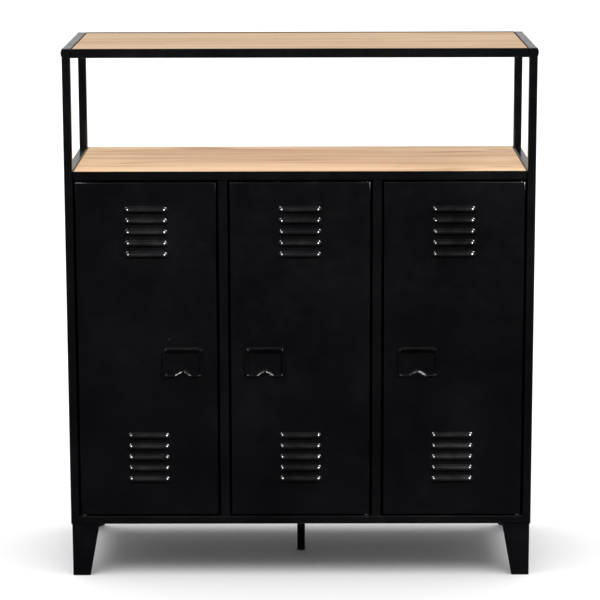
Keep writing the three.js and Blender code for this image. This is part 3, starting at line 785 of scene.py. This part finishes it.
# ---- operators --------------------------------------------------------------------------------
class TubeFrame(bpy.types.Operator):
    """Builds the posts and side rails of square tube, with their weld beads"""
    bl_idname = "sideboard.tube_frame"
    bl_label = "Tube frame"

    def execute(self, context):
        steel = context.scene.sideboard_steel
        for side in SIDES:
            for end in ENDS:
                self.post(f"post_{end}_{side}", steel)
            for level in ("top", "mid"):
                self.rail(f"{level}_side_rail_{side}", f"post_front_{side}", f"post_back_{side}", steel)
        self.beads()
        return {"FINISHED"}

    def post(self, node_name, steel):
        """A tube closed on top by a softly domed cap."""
        low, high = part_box(node_name)
        centre = middle(node_name)
        size = high.x - low.x
        radius = steel.tube_radius
        wall = steel.tube_wall
        inner = rounded_rect(size - 2 * wall, size - 2 * wall, radius - wall, centre.xy)
        outer = rounded_rect(size, size, radius, centre.xy)
        rings = [lay(inner, high.z - wall), lay(inner, low.z), lay(outer, low.z)]
        dome = ((0.0, 1.2), (0.1, 0.7), (0.35, 0.3), (0.8, 0.08), (1.4, 0.0))
        for inset, drop in dome:
            less = inset * MM
            eased = rounded_rect(size - 2 * less, size - 2 * less, radius - less, centre.xy)
            rings.append(lay(eased, high.z - drop * MM))
        piece = raw_piece(node_name.replace("post", "tube_post"), [loft(rings)], black_coat())
        flatten(piece)
        mount(piece, CABINET, "black_steel", node_name)

    def rail(self, node_name, front_post, back_post, steel):
        """A side rail run up to the posts it is welded to."""
        low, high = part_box(node_name)
        low.y = span(front_post, "y")[1]
        high.y = span(back_post, "y")[0]
        skins = [tube(low, high, "XZ", steel)]
        steel_piece(f"tube_{node_name}", skins, CABINET, node_name, edge=0.2 * MM)

    def beads(self):
        """Fillet welds under each side rail and on its inner face, where it meets the posts."""
        points = []
        edges = []
        clear = 3 * MM
        for side in SIDES:
            for level in ("top", "mid"):
                low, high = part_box(f"{level}_side_rail_{side}")
                inner_x = low.x if side == "right" else high.x
                for post, edge in (("front", 1), ("back", 0)):
                    y = span(f"post_{post}_{side}", "y")[edge]
                    start = len(points)
                    points += [(low.x + clear, y, low.z), (high.x - clear, y, low.z)]
                    points += [(inner_x, y, low.z + clear), (inner_x, y, high.z - clear)]
                    edges += [(start, start + 1), (start + 2, start + 3)]
        piece = points_piece("weld_beads", points, edges)
        apply_tree(piece, weld_tree(), {
            "Bead Radius": 1.1 * MM, "Spacing": 1.1 * MM, "Seed": 4, "Material": black_coat()})
        settle(piece)
        piece.data.shade_smooth()
        mount(piece, CABINET, "black_steel")


class AngleRails(bpy.types.Operator):
    """Builds the folded rails at the front and back of both boards, with their end tabs"""
    bl_idname = "sideboard.angle_rails"
    bl_label = "Angle rails"

    def execute(self, context):
        steel = context.scene.sideboard_steel
        for level in ("top", "mid"):
            for end in ENDS:
                self.rail(f"{level}_{end}_rail", end, steel)
        return {"FINISHED"}

    def rail(self, node_name, end, steel):
        low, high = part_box(node_name)
        if end == "front":
            path = [(low.y, high.z), (low.y, low.z), (high.y, low.z)]
        else:
            path = [(low.y, low.z), (high.y, low.z), (high.y, high.z)]
        skins = [prism(folded(path, steel.heavy_sheet, steel.bend), (low.x, high.x), "YZ")]
        depth = span(f"post_{end}_left", "y")
        rise = (low.z + steel.heavy_sheet, high.z - steel.heavy_sheet)
        tab = rounded_rect(depth[1] - depth[0], rise[1] - rise[0], 2.0 * MM,
                           (sum(depth) / 2, sum(rise) / 2), 4)
        skins.append(prism(tab, (low.x + 0.01 * MM, low.x + steel.heavy_sheet), "YZ"))
        skins.append(prism(tab, (high.x - steel.heavy_sheet, high.x - 0.01 * MM), "YZ"))
        steel_piece(f"angle_{node_name}", skins, CABINET, node_name)


class Boards(bpy.types.Operator):
    """Builds the two oak boards lying in the frame"""
    bl_idname = "sideboard.boards"
    bl_label = "Oak boards"

    def execute(self, context):
        board = context.scene.sideboard_board
        right = span("top_board", "x")[1]
        front, back = span("top_board", "y")
        deep = back - front
        top_knots = [(-0.62 * right, front + 0.30 * deep, 0.040, 0.011),
                     (0.30 * right, back - 0.16 * deep, 0.030, 0.007)]
        mid_knots = [(0.90 * right, front + 0.17 * deep, 0.075, 0.013),
                     (0.82 * right, back - 0.30 * deep, 0.010, 0.007),
                     (-0.90 * right, front + 0.33 * deep, 0.060, 0.010)]
        # The middle board's oak is browner and more streaked than the upper one's: painted shade under the
        # upper board. Its knots and grain shift are its own.
        top = oak("Oak decor, upper board", 0.0, 0.55, 0.0, top_knots)
        mid = oak("Oak decor, middle board", 2.7, 0.75, 0.02, mid_knots)
        for node_name, material in (("top_board", top), ("mid_board", mid)):
            low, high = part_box(node_name)
            section = rounded_rect(high.y - low.y, high.z - low.z, board.edge, middle(node_name).yz, 4)
            piece = raw_piece(f"oak_{node_name}", [prism(section, (low.x, high.x), "YZ")], material)
            finish(piece, board.edge * 0.8, CABINET, "oak_board", node_name, segments=3)
        return {"FINISHED"}


class BodyPanels(bpy.types.Operator):
    """Builds the folded side panels, the back panel and the floor tray"""
    bl_idname = "sideboard.body_panels"
    bl_label = "Body panels"

    def execute(self, context):
        steel = context.scene.sideboard_steel
        outer = steel.bend + steel.sheet
        low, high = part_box("side_panel_right")
        lip = 15.0 * MM
        us, vs = (low.y, high.y), (low.z, high.z)
        right = pan(us, vs, high.x - low.x, lip, outer, lambda u, v, w: Vector((high.x + w, u, v)))
        self.sheet("steel_side_panel_right", right, "side_panel_right", steel)
        low_left, high_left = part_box("side_panel_left")
        us = (-high_left.y, -low_left.y)
        left = pan(us, vs, high_left.x - low_left.x, lip, outer,
                   lambda u, v, w: Vector((low_left.x - w, -u, v)))
        self.sheet("steel_side_panel_left", left, "side_panel_left", steel)
        self.tray(steel, outer)
        self.back()
        return {"FINISHED"}

    def sheet(self, name, skin, node_name, steel):
        piece = raw_piece(name, [skin], black_coat(), closed=False)
        thicken(piece, steel.sheet)
        finish(piece, 0.3 * MM, CABINET, "black_steel", node_name)

    def tray(self, steel, outer):
        """Floor tray folded down all round, with a return along its lower edge."""
        low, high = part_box("floor_tray")
        skin = pan((low.x, high.x), (low.y, high.y), high.z - low.z, 12.0 * MM, outer,
                   lambda u, v, w: Vector((u, v, high.z + w)))
        self.sheet("steel_floor_tray", skin, "floor_tray", steel)

    def back(self):
        """Back panel reaching down behind the tray's fold, with its screws."""
        low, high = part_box("back_panel")
        centre = middle("back_panel")
        behind_fold = 2.2 * MM
        overlap = 0.25 * MM
        wide = high.x - low.x + 2 * overlap
        tall = high.z - low.z + behind_fold + overlap
        middle_z = (high.z + overlap + low.z - behind_fold) / 2
        outline = rounded_rect(wide, tall, 2.0 * MM, (centre.x, middle_z), 4)
        steel_piece("steel_back_panel", [prism(outline, (low.y, high.y), "XZ")], CABINET, "back_panel")
        inset = 9.0 * MM
        across = [low.x + inset + k * (high.x - low.x - 2 * inset) / 6 for k in range(7)]
        up = [low.z + inset + k * (high.z - low.z - 2 * inset) / 4 for k in range(5)]
        places = [(x, z) for x in across for z in (up[0], up[-1])]
        places += [(x, z) for x in (across[0], across[-1]) for z in up[1:-1]]
        places += [(middle(f"partition_{side}").x, z) for side in SIDES for z in up[1:-1]]
        spots = [((x, high.y, z), (0.0, 1.0, 0.0)) for x, z in places]
        screws("back_panel_screws", spots, CABINET, "black_steel", black_coat(),
               (4.2, 2.0), (1.5, 1.0))


class Partitions(bpy.types.Operator):
    """Builds the two partitions: a box stile, a web and a folded seat for the board"""
    bl_idname = "sideboard.partitions"
    bl_label = "Partitions"

    def execute(self, context):
        steel = context.scene.sideboard_steel
        for side in SIDES:
            low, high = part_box(f"partition_{side}")
            door_depth = 18.0 * MM
            top = span("back_panel", "z")[1]
            stile = tube(low, Vector((high.x, low.y + door_depth, top)), "XY", steel)
            x = (low.x + high.x) / 2
            half = steel.sheet / 2
            ledge_front = span("mid_front_rail", "y")[1]
            ledge_back = span("mid_back_rail", "y")[0]
            web = [(low.y + door_depth - half, low.z), (high.y, low.z), (high.y, top), (ledge_back, top),
                   (ledge_back, high.z - half), (ledge_front, high.z - half), (ledge_front, top),
                   (low.y + door_depth - half, top)]
            seat = rounded_rect(high.x - x, steel.sheet, 0.3 * MM, ((x + high.x) / 2, high.z - half), 3)
            skins = [stile, prism(web, (x - half, x + half), "YZ")]
            skins.append(prism(seat, (ledge_front + 0.5 * MM, ledge_back - 0.5 * MM), "XZ"))
            steel_piece(f"steel_partition_{side}", skins, CABINET, f"partition_{side}", edge=0.25 * MM)
        return {"FINISHED"}


class Shelves(bpy.types.Operator):
    """Builds the loose steel shelves and the angles that carry them"""
    bl_idname = "sideboard.shelves"
    bl_label = "Shelves and supports"

    def execute(self, context):
        steel = context.scene.sideboard_steel
        for bay in BAYS:
            self.shelf(bay, steel)
            for end, inward in (("a", 1), ("b", -1)):
                self.support(f"shelf_support_{bay}_{end}", inward, steel)
        return {"FINISHED"}

    def shelf(self, bay, steel):
        low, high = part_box(f"shelf_{bay}")
        margin = 16.8 * MM
        hem = 9.0 * MM
        path = [(low.y + hem, low.z), (low.y, low.z), (low.y, high.z), (high.y, high.z), (high.y, low.z),
                (high.y - hem, low.z)]
        outline = folded(path[::-1], steel.sheet, steel.bend)
        skins = [prism(outline, (low.x + margin, high.x - margin), "YZ")]
        for near, far in ((low.x, low.x + margin), (high.x - margin, high.x)):
            strip = rounded_rect(far - near, high.y - low.y - 2.2 * MM, 1.0 * MM,
                                 ((near + far) / 2, (low.y + high.y) / 2), 3)
            skins.append(prism(strip, (high.z - steel.sheet, high.z)))
        piece = raw_piece(f"steel_shelf_{bay}", skins, black_coat())
        flatten(piece)
        piece.data.set_sharp_from_angle(angle=math.radians(40))
        mount(piece, CABINET, "black_steel", f"shelf_{bay}")

    def support(self, node_name, inward, steel):
        low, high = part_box(node_name)
        if inward > 0:
            path = [(high.x, high.z), (low.x, high.z), (low.x, low.z)]
        else:
            path = [(high.x, low.z), (high.x, high.z), (low.x, high.z)]
        skin = prism(folded(path, steel.sheet, steel.bend), (low.y, high.y), "XZ")
        steel_piece(f"steel_{node_name}", [skin], CABINET, node_name, edge=0.25 * MM)


class Doors(bpy.types.Operator):
    """Builds the three louvred door pans with their strike plates"""
    bl_idname = "sideboard.doors"
    bl_label = "Doors"

    def execute(self, context):
        for bay in BAYS:
            self.door(bay, context.scene.sideboard_steel, context.scene.sideboard_louvres)
        return {"FINISHED"}

    def door(self, bay, steel, louvres):
        low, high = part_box(f"door_{bay}")
        low.y += louvres.reach
        centre = (low.x + high.x) / 2
        columns = self.columns(low.x, high.x, centre, louvres)
        rows = self.rows(low.z, high.z, louvres)
        radius = 2.0 * MM
        lip = 15.0 * MM
        skin = pan(columns, rows, high.y - low.y, lip, radius,
                   lambda u, v, w: Vector((u, low.y - w, v)))
        piece = raw_piece(f"louvred_door_{bay}", [skin], black_coat(), closed=False)
        fold = piece.data.attributes.new("fold", "FLOAT", "POINT")
        fold.data.foreach_set("value", [float(v.co.y > low.y + 1e-6) for v in piece.data.vertices])
        apply_tree(piece, louvre_tree(), {
            "Middle": centre, "Foot": low.z, "Width": louvres.width, "Rise": louvres.rise,
            "Reach": louvres.reach, "Slot": louvres.slot, "Pitch": louvres.pitch, "Lower": louvres.lower,
            "Upper": louvres.upper, "Steps": float(louvres.count // 2), "Material": black_coat()})
        thicken(piece, steel.door_sheet)
        finish(piece, 0.28 * MM, f"leaf_{bay}", "black_steel", f"door_{bay}", angle=55.0)
        self.strike(bay, high)

    def columns(self, low, high, centre, louvres):
        """Grid lines across the door, close together at the hoods' rounded ends."""
        half = louvres.width / 2
        straight = half - louvres.rise
        steps = [straight + louvres.rise * s for s in (0.0, 0.2, 0.4, 0.55, 0.68, 0.8, 0.9, 1.0)]
        right = [straight / 3, 2 * straight / 3] + steps + [half + 1.5 * MM]
        left = [centre - x for x in reversed(right)]
        return [low] + left + [centre] + [centre + x for x in right] + [high]

    def rows(self, low, high, louvres):
        """Grid lines up the door: each lip, its slot's edge and the curve of its hood."""
        lines = [low]
        margin = 1.5 * MM
        half = louvres.count // 2
        for group in (louvres.lower, louvres.upper):
            for k in range(-half, half + 1):
                lip = low + group + k * louvres.pitch
                lines += [lip - louvres.slot - margin, lip - louvres.slot, lip]
                lines += [lip + louvres.rise * s for s in (0.15, 0.3, 0.45, 0.6, 0.73, 0.84, 0.93, 1.0)]
                lines.append(lip + louvres.rise + margin)
        return lines + [high]

    def strike(self, bay, high):
        """Zinc strike plate for the magnetic catch, screwed on the door's upper lip."""
        catch = middle(f"magnetic_catch_{bay}")
        z = high.z - 7.5 * MM
        outline = rounded_rect(38.0 * MM, 11.0 * MM, 2.0 * MM, (catch.x, z), 5)
        skins = [prism(outline, (high.y, high.y + 0.35 * MM), "XZ")]
        piece = raw_piece(f"strike_plate_{bay}", skins, zinc_plate())
        finish(piece, 0.1 * MM, f"leaf_{bay}", "zinc_steel")


class Handles(bpy.types.Operator):
    """Builds the rolled backplates and the drop rings of bent wire"""
    bl_idname = "sideboard.handles"
    bl_label = "Handles"

    def execute(self, context):
        settings = context.scene.sideboard_handle
        for bay in BAYS:
            self.plate(bay, settings, context.scene.sideboard_steel)
            self.ring(bay, settings)
        return {"FINISHED"}

    def plate(self, bay, handle, steel):
        """One strip: the flat plate with rounded upper corners, rolled forwards round the wire."""
        low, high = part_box(f"handle_plate_{bay}")
        x = (low.x + high.x) / 2
        half = (high.x - low.x) / 2
        centre_y = high.y - handle.roll
        centre_z = low.z + handle.roll
        line = []
        for k in range(9):
            a = math.pi / 2 * (1 - k / 8)
            drop = handle.corner * (1 - math.sin(a))
            less = handle.corner * (1 - math.cos(a))
            line.append((high.y, high.z - drop, half - less))
        line.append((high.y, (high.z - handle.corner + centre_z) / 2, half))
        for k in range(23):
            a = -math.radians(k * 14.0)
            y = centre_y + handle.roll * math.cos(a)
            line.append((y, centre_z + handle.roll * math.sin(a), half))
        across = [-1.0, -0.97, -0.5, 0.0, 0.5, 0.97, 1.0]
        points = [Vector((x + s * reach, y, z)) for y, z, reach in line for s in across]
        wide = len(across)
        faces = []
        for j in range(len(line) - 1):
            for i in range(wide - 1):
                a = j * wide + i
                faces.append((a, a + 1, a + wide + 1, a + wide))
        piece = raw_piece(f"handle_backplate_{bay}", [(points, faces)], black_coat(), closed=False)
        thicken(piece, steel.sheet)
        finish(piece, 0.3 * MM, f"leaf_{bay}", "black_steel", f"handle_plate_{bay}", angle=55.0)

    def ring(self, bay, handle):
        """The wire swept round its loop, its section always square to the centreline."""
        low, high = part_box(f"handle_ring_{bay}")
        wire = handle.wire / 2
        centre = middle(f"handle_ring_{bay}")
        top = high.z - wire
        foot = low.z + wire
        half = (high.x - low.x) / 2 - wire
        rings = []
        for (u, v), across in self.path(half, foot - top, handle):
            at = Vector((centre.x + u, centre.y, top + v))
            out = Vector((across.x, 0.0, across.y)) * wire
            rings.append([at + out * c + Vector((0, wire * s, 0)) for c, s in turns(18)])
        piece = raw_piece(f"drop_ring_{bay}", [loft(rings)], black_coat())
        mount(piece, f"ring_{bay}", "black_steel", f"handle_ring_{bay}")

    def path(self, half, foot, handle):
        """Centreline of the wire from one end, round the loop with its finger notch, to the other."""
        notch = handle.notch_width / 2
        lost_in_bend = 0.9 * MM
        peak = foot + handle.notch_height + lost_in_bend
        gap = handle.end_gap / 2
        corners = [(gap, 0.0), (half, 0.0), (half, foot), (notch, foot), (0.0, peak), (-notch, foot),
                   (-half, foot), (-half, 0.0), (-gap, 0.0)]
        ends = [0.0, handle.bend, handle.bend, 5.0 * MM]
        radii = ends + [3.4 * MM] + ends[::-1]
        return rounded_line(corners, lambda turn, i: radii[i], False, 10)


class Hardware(bpy.types.Operator):
    """Builds the pivot pins, their washers and the magnetic catches"""
    bl_idname = "sideboard.hardware"
    bl_label = "Pivots and catches"

    def execute(self, context):
        for bay in BAYS:
            self.pin(f"pivot_pin_top_{bay}", bay, 1)
            self.pin(f"pivot_pin_bottom_{bay}", bay, -1)
            self.washer(bay)
            self.catch(bay)
        return {"FINISHED"}

    def pin(self, node_name, bay, way):
        """A turned pin with a collar and a rounded tip pointing up or down."""
        low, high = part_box(node_name)
        centre = middle(node_name)
        collar = (high.x - low.x) / 2
        rim = 2 * MM
        pin = collar * 3.0 / 4.8
        tall = high.z - low.z
        ease = 0.35 * MM
        profile = [(collar - ease, 0.0), (collar, ease), (collar, rim - ease), (collar - ease, rim),
                   (pin + 0.15 * MM, rim), (pin, rim + 0.3 * MM), (pin, tall - 0.9 * MM),
                   (pin - 0.25 * MM, tall - 0.3 * MM), (pin - 0.9 * MM, tall)]
        base = low.z if way > 0 else high.z
        skin = turned([(r, way * z) for r, z in profile], Vector((centre.x, centre.y, base)))
        finish, slot = (black_coat(), "black_steel") if way > 0 else (zinc_plate(), "zinc_steel")
        piece = raw_piece(f"turned_{node_name}", [skin], finish)
        piece.data.set_sharp_from_angle(angle=math.radians(40))
        mount(piece, f"leaf_{bay}", slot, node_name)

    def washer(self, bay):
        low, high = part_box(f"pivot_washer_{bay}")
        centre = middle(f"pivot_washer_{bay}")
        outer = (high.x - low.x) / 2
        hole = 3.3 * MM
        tall = high.z - low.z
        ease = 0.4 * MM
        profile = [(hole, ease), (hole + ease, 0.0), (outer - ease, 0.0), (outer, ease),
                   (outer, tall - ease), (outer - ease, tall), (hole + ease, tall), (hole, tall - ease)]
        skin = turned(profile, Vector((centre.x, centre.y, low.z)), joined=True)
        piece = raw_piece(f"plastic_pivot_washer_{bay}", [skin], black_plastic())
        piece.data.set_sharp_from_angle(angle=math.radians(50))
        mount(piece, CABINET, "black_plastic", f"pivot_washer_{bay}")

    def catch(self, bay):
        """Plastic case with screwing ears, pole plates in its mouth and two screws from below."""
        low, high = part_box(f"magnetic_catch_{bay}")
        centre = middle(f"magnetic_catch_{bay}")
        ear = 8.0 * MM
        ear_thickness = 2.5 * MM
        case = rounded_rect(high.x - low.x - 2 * ear, high.z - low.z, 1.2 * MM, (centre.x, centre.z), 4)
        ears = rounded_rect(high.x - low.x, high.y - low.y, 3.0 * MM, centre.xy, 6)
        skins = [prism(case, (low.y, high.y), "XZ"),
                 prism(ears, (high.z - ear_thickness, high.z - 0.02 * MM))]
        piece = raw_piece(f"plastic_catch_{bay}", skins, black_plastic())
        finish(piece, 0.5 * MM, CABINET, "black_plastic", f"magnetic_catch_{bay}", segments=3)
        plates = []
        for level in (-4.2, -0.8):
            pole = rounded_rect(34.0 * MM, 1.2 * MM, 0.4 * MM, (centre.x, centre.z + level * MM), 3)
            plates.append(prism(pole, (low.y - 0.08 * MM, low.y + 3 * MM), "XZ"))
        poles = raw_piece(f"catch_pole_plates_{bay}", plates, zinc_plate())
        finish(poles, 0.1 * MM, CABINET, "zinc_steel")
        spots = [((x, centre.y, high.z - ear_thickness), DOWN)
                 for x in (low.x + ear / 2, high.x - ear / 2)]
        screws(f"catch_screws_{bay}", spots, CABINET, "zinc_steel", zinc_plate(),
               (2.6, 1.2), (1.1, 0.7), sides=4)


class Legs(bpy.types.Operator):
    """Builds the tapered corner legs and the centre leg with its glide"""
    bl_idname = "sideboard.legs"
    bl_label = "Legs"

    def execute(self, context):
        steel = context.scene.sideboard_steel
        spots = []
        for side, out_x in (("left", -1), ("right", 1)):
            for end, out_y in (("front", -1), ("back", 1)):
                spots += self.corner_leg(f"leg_{end}_{side}", out_x, out_y, steel)
        screws("leg_screws", spots, CABINET, "zinc_steel", zinc_plate(), (6.0, 3.2), (2.6, 2.0))
        low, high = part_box("center_leg")
        skins = [tube(low, high, "XY", steel)]
        steel_piece("tube_center_leg", skins, CABINET, "center_leg", edge=0.25 * MM)
        self.glide(steel)
        return {"FINISHED"}

    def corner_leg(self, node_name, out_x, out_y, steel):
        """Two tapered faces folded at the outer corner, a head plate, a foot plate and its pad."""
        low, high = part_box(node_name)
        corner = Vector((low.x if out_x < 0 else high.x, low.y if out_y < 0 else high.y))
        wide = high.x - low.x
        narrow = 39.0 * MM
        thick = steel.heavy_sheet
        tall = high.z - low.z

        def at(u, v):
            return corner.x - out_x * u, corner.y - out_y * v

        def fold_at(reach):
            path = [(0.0, reach), (0.0, 0.0), (reach, 0.0)]
            return [at(u, v) for u, v in folded(path, thick, 1.6 * MM)]

        gap = 0.6 * MM
        levels = [low.z + gap + k * (tall - gap) / 6 for k in range(7)]
        rings = [lay(fold_at(narrow + (wide - narrow) * (z - low.z) / tall), z) for z in levels]
        plate = wide - 8.0 * MM
        head = rounded_rect(plate, plate, [2.0 * MM, 5.0 * MM, 9.0 * MM, 5.0 * MM],
                            (plate / 2 + 0.3 * MM, plate / 2 + 0.3 * MM), 5)
        head = [at(u, v) for u, v in head]
        foot = rounded_line([(gap, gap), (narrow - gap, gap), (gap, narrow - gap)],
                            lambda turn, i: 1.5 * MM, True, 4)
        foot = [at(u, v) for (u, v), normal in foot]
        pad_top = low.z + 0.7 * MM
        skins = [loft(rings), prism(head, (high.z - thick, high.z - 0.02 * MM)),
                 prism(foot, (pad_top, low.z + thick))]
        steel_piece(f"folded_{node_name}", skins, CABINET, node_name, edge=0.3 * MM)
        pad = raw_piece(f"foot_pad_{node_name}", [prism(foot, (low.z, pad_top))], black_plastic())
        finish(pad, 0.2 * MM, CABINET, "black_plastic")
        places = [at(u * MM, v * MM) for u, v in ((40.0, 15.0), (15.0, 40.0), (38.0, 38.0))]
        return [((x, y, high.z - thick), DOWN) for x, y in places]

    def glide(self, steel):
        """Plug with two ribs, and a flange with a rounded foot."""
        low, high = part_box("center_leg_glide")
        centre = middle("center_leg_glide").xy
        size = high.x - low.x
        plug = size - 2 * steel.tube_wall - 0.6 * MM
        rib = plug + 0.4 * MM
        profile = [(size - 2.4 * MM, 0.0), (size - 0.8 * MM, 0.5), (size - 0.05 * MM, 1.6),
                   (size, 2.6), (size, 4.2), (size - 0.4 * MM, 4.7), (plug, 4.75), (plug, 7.5),
                   (rib, 8.2), (plug, 9.0), (plug, 12.0), (rib, 12.7), (plug, 13.5),
                   (plug - 1.5 * MM, 17.0)]
        rings = [lay(rounded_rect(width, width, 1.0 * MM, centre, 5), low.z + level * MM)
                 for width, level in profile]
        piece = raw_piece("plastic_center_leg_glide", [loft(rings)], black_plastic())
        piece.data.set_sharp_from_angle(angle=math.radians(50))
        mount(piece, CABINET, "black_plastic", "center_leg_glide")


class RailBolts(bpy.types.Operator):
    """Builds the domed bolts through the posts' tops into the upper rails"""
    bl_idname = "sideboard.rail_bolts"
    bl_label = "Rail bolts"

    def execute(self, context):
        nodes = [f"rail_bolt_{end}_{side}" for end in ENDS for side in SIDES]
        spots = []
        for name in nodes:
            low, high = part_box(name)
            way = 1.0 if high.x > 0 else -1.0
            post_face = span(name.replace("rail_bolt", "post"), "x")[1 if way > 0 else 0]
            spots.append(((post_face, middle(name).y, middle(name).z), (way, 0.0, 0.0)))
        low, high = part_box(nodes[0])
        stands_out = CAD_BOX[1].x - span("post_front_right", "x")[1]
        head = ((high.z - low.z) / 2 / MM, stands_out / MM)
        screws("rail_bolts", spots, CABINET, "black_steel", black_coat(), head, (3.4, 1.5),
               (3.0, 20.0), 6, nodes)
        return {"FINISHED"}


class Stage(bpy.types.Operator):
    """Sets the plain floor, the soft studio light and the camera"""
    bl_idname = "sideboard.stage"
    bl_label = "Stage"

    def execute(self, context):
        stage = context.scene.sideboard_stage
        self.floor(stage)
        self.surround(context.scene, stage)
        steel = bpy.data.collections[KEY_LIT]
        for name, x, part in (("Key light", 3.4, 1.0), ("Second key light", -3.4, 0.6)):
            self.light(name, (x, -4.1, 4.25), (0.0, -0.2, 0.5), (0.36, 0.36), stage.key * part, steel)
        shelf = bpy.data.collections.new("Lit by the shelf light")
        context.scene.collection.children.link(shelf)
        shelf.objects.link(bpy.data.objects["oak_mid_board"])
        self.light("Shelf light", (0.0, -3.1, 2.3), (0.0, 0.0, 0.9), (2.4, 0.9), stage.shelf, shelf)
        self.sky(stage)
        self.camera(context.scene, stage)
        context.scene.view_settings.view_transform = "Standard"
        return {"FINISHED"}

    def floor(self, stage):
        """A wide floor that curves up far behind the object."""
        half = 9.0
        flat_end = 0.7 * half
        sweep = 2.0
        line = [(-half, 0.0), (flat_end, 0.0)]
        for k in range(1, 13):
            a = math.pi / 2 * k / 12
            line.append((flat_end + sweep * math.sin(a), sweep * (1 - math.cos(a))))
        points = [Vector((x, y, z)) for y, z in line for x in (-half, half)]
        faces = [(2 * k, 2 * k + 1, 2 * k + 3, 2 * k + 2) for k in range(len(line) - 1)]
        material, tree, shader, place = new_material("Studio floor")
        mottled = noise(tree, place, 3.0, 2.0)
        shade = tuple(c * 0.985 for c in stage.floor)
        tint = blend(tree, mottled, colour(shade), colour(stage.floor))
        surface(tree, shader, Base_Color=tint, Roughness=0.9, Specular_IOR_Level=0.1)
        floor = raw_piece("studio_floor", [(points, faces)], material, closed=False)
        floor.visible_glossy = False

    def surround(self, scene, stage):
        """A white background that lights the object more dimly than it shows."""
        world = bpy.data.worlds.new("Studio")
        scene.world = world
        world.use_nodes = True
        tree = world.node_tree
        shown = tree.nodes["Background"]
        shown.inputs["Color"].default_value = WHITE
        shown.inputs["Strength"].default_value = 1.0
        lighting = node(tree, "ShaderNodeBackground", {"Color": WHITE, "Strength": stage.surround})
        direction = tree.nodes.new("ShaderNodeTexCoord").outputs["Generated"]
        toward = node(tree, "ShaderNodeSeparateXYZ", {0: direction})
        behind = calc(tree, "MULTIPLY", ramp_between(tree, toward.outputs["Y"], 0.45, 0.95), 0.60)
        above = calc(tree, "MULTIPLY_ADD", ramp_between(tree, toward.outputs["Z"], 0.2, 1.0), 0.06, behind)
        mirrored = node(tree, "ShaderNodeBackground", {
            "Color": WHITE, "Strength": calc(tree, "ADD", above, 0.009)})
        ray = tree.nodes.new("ShaderNodeLightPath").outputs
        lit = node(tree, "ShaderNodeMixShader", {
            0: ray["Is Glossy Ray"], 1: lighting.outputs[0], 2: mirrored.outputs[0]})
        mixed = node(tree, "ShaderNodeMixShader", {
            0: ray["Is Camera Ray"], 1: lit.outputs[0], 2: shown.outputs[0]})
        tree.links.new(mixed.outputs[0], tree.nodes["World Output"].inputs["Surface"])

    def light(self, name, place, target, size, power, receivers):
        """A rectangular light that reaches one collection only."""
        data = bpy.data.lights.new(name, "AREA")
        data.shape = "RECTANGLE"
        data.size = size[0]
        data.size_y = size[1]
        data.energy = power
        lamp = bpy.data.objects.new(name, data)
        lamp.location = place
        lamp.rotation_euler = (Vector(target) - Vector(place)).to_track_quat("-Z", "Y").to_euler()
        lamp.light_linking.receiver_collection = receivers
        bpy.context.scene.collection.objects.link(lamp)

    def sky(self, stage):
        """A very soft light from above, a little in front."""
        data = bpy.data.lights.new("Overhead light", "SUN")
        data.energy = stage.overhead
        data.angle = math.radians(75.0)
        lamp = bpy.data.objects.new("Overhead light", data)
        lamp.rotation_euler = (math.radians(6.0), 0.0, 0.0)
        lamp.visible_glossy = False
        bpy.context.scene.collection.objects.link(lamp)

    def camera(self, scene, stage):
        """Nearly straight in front, a little above the top, looking slightly down."""
        data = bpy.data.cameras.new("Camera")
        data.sensor_width = 36.0
        data.lens = stage.lens
        turn = Matrix.Rotation(math.radians(0.186), 4, "Z")
        tilt = Matrix.Rotation(math.radians(90.0 - 11.235), 4, "X")
        roll = Matrix.Rotation(math.radians(-0.145), 4, "Z")
        camera = bpy.data.objects.new("Camera", data)
        camera.matrix_world = Matrix.Translation((0.0169, -5.5397, 1.6874)) @ turn @ tilt @ roll
        scene.collection.objects.link(camera)
        scene.camera = camera


# ---- panel and registration -------------------------------------------------------------------
BUILDERS = (TubeFrame, AngleRails, Boards, BodyPanels, Partitions, Shelves, Doors, Handles, Hardware,
            Legs, RailBolts, Stage)


class SideboardPanel(bpy.types.Panel):
    """Lists the sideboard's builders and settings"""
    bl_idname = "VIEW3D_PT_sideboard"
    bl_label = "Sideboard"
    bl_space_type = "VIEW_3D"
    bl_region_type = "UI"
    bl_category = "Sideboard"

    def draw(self, context):
        scene = context.scene
        for builder in BUILDERS:
            self.layout.operator(builder.bl_idname)
        for label, settings in SETTINGS:
            box = self.layout.box()
            group = getattr(scene, label)
            for key in settings.__annotations__:
                box.prop(group, key)


SETTINGS = (
    ("sideboard_steel", SteelSettings),
    ("sideboard_louvres", LouvreSettings),
    ("sideboard_handle", HandleSettings),
    ("sideboard_board", BoardSettings),
    ("sideboard_stage", StageSettings),
)


def register():
    for label, settings in SETTINGS:
        bpy.utils.register_class(settings)
        setattr(bpy.types.Scene, label, bpy.props.PointerProperty(type=settings))
    for builder in BUILDERS:
        bpy.utils.register_class(builder)
    bpy.utils.register_class(SideboardPanel)


def unregister():
    bpy.utils.unregister_class(SideboardPanel)
    for builder in reversed(BUILDERS):
        bpy.utils.unregister_class(builder)
    for label, settings in reversed(SETTINGS):
        delattr(bpy.types.Scene, label)
        bpy.utils.unregister_class(settings)


def main():
    register()
    bpy.ops.sideboard.tube_frame()
    bpy.ops.sideboard.angle_rails()
    bpy.ops.sideboard.boards()
    bpy.ops.sideboard.body_panels()
    bpy.ops.sideboard.partitions()
    bpy.ops.sideboard.shelves()
    bpy.ops.sideboard.doors()
    bpy.ops.sideboard.handles()
    bpy.ops.sideboard.hardware()
    bpy.ops.sideboard.legs()
    bpy.ops.sideboard.rail_bolts()
    bpy.ops.sideboard.stage()


if __name__ == "__main__":
    main()
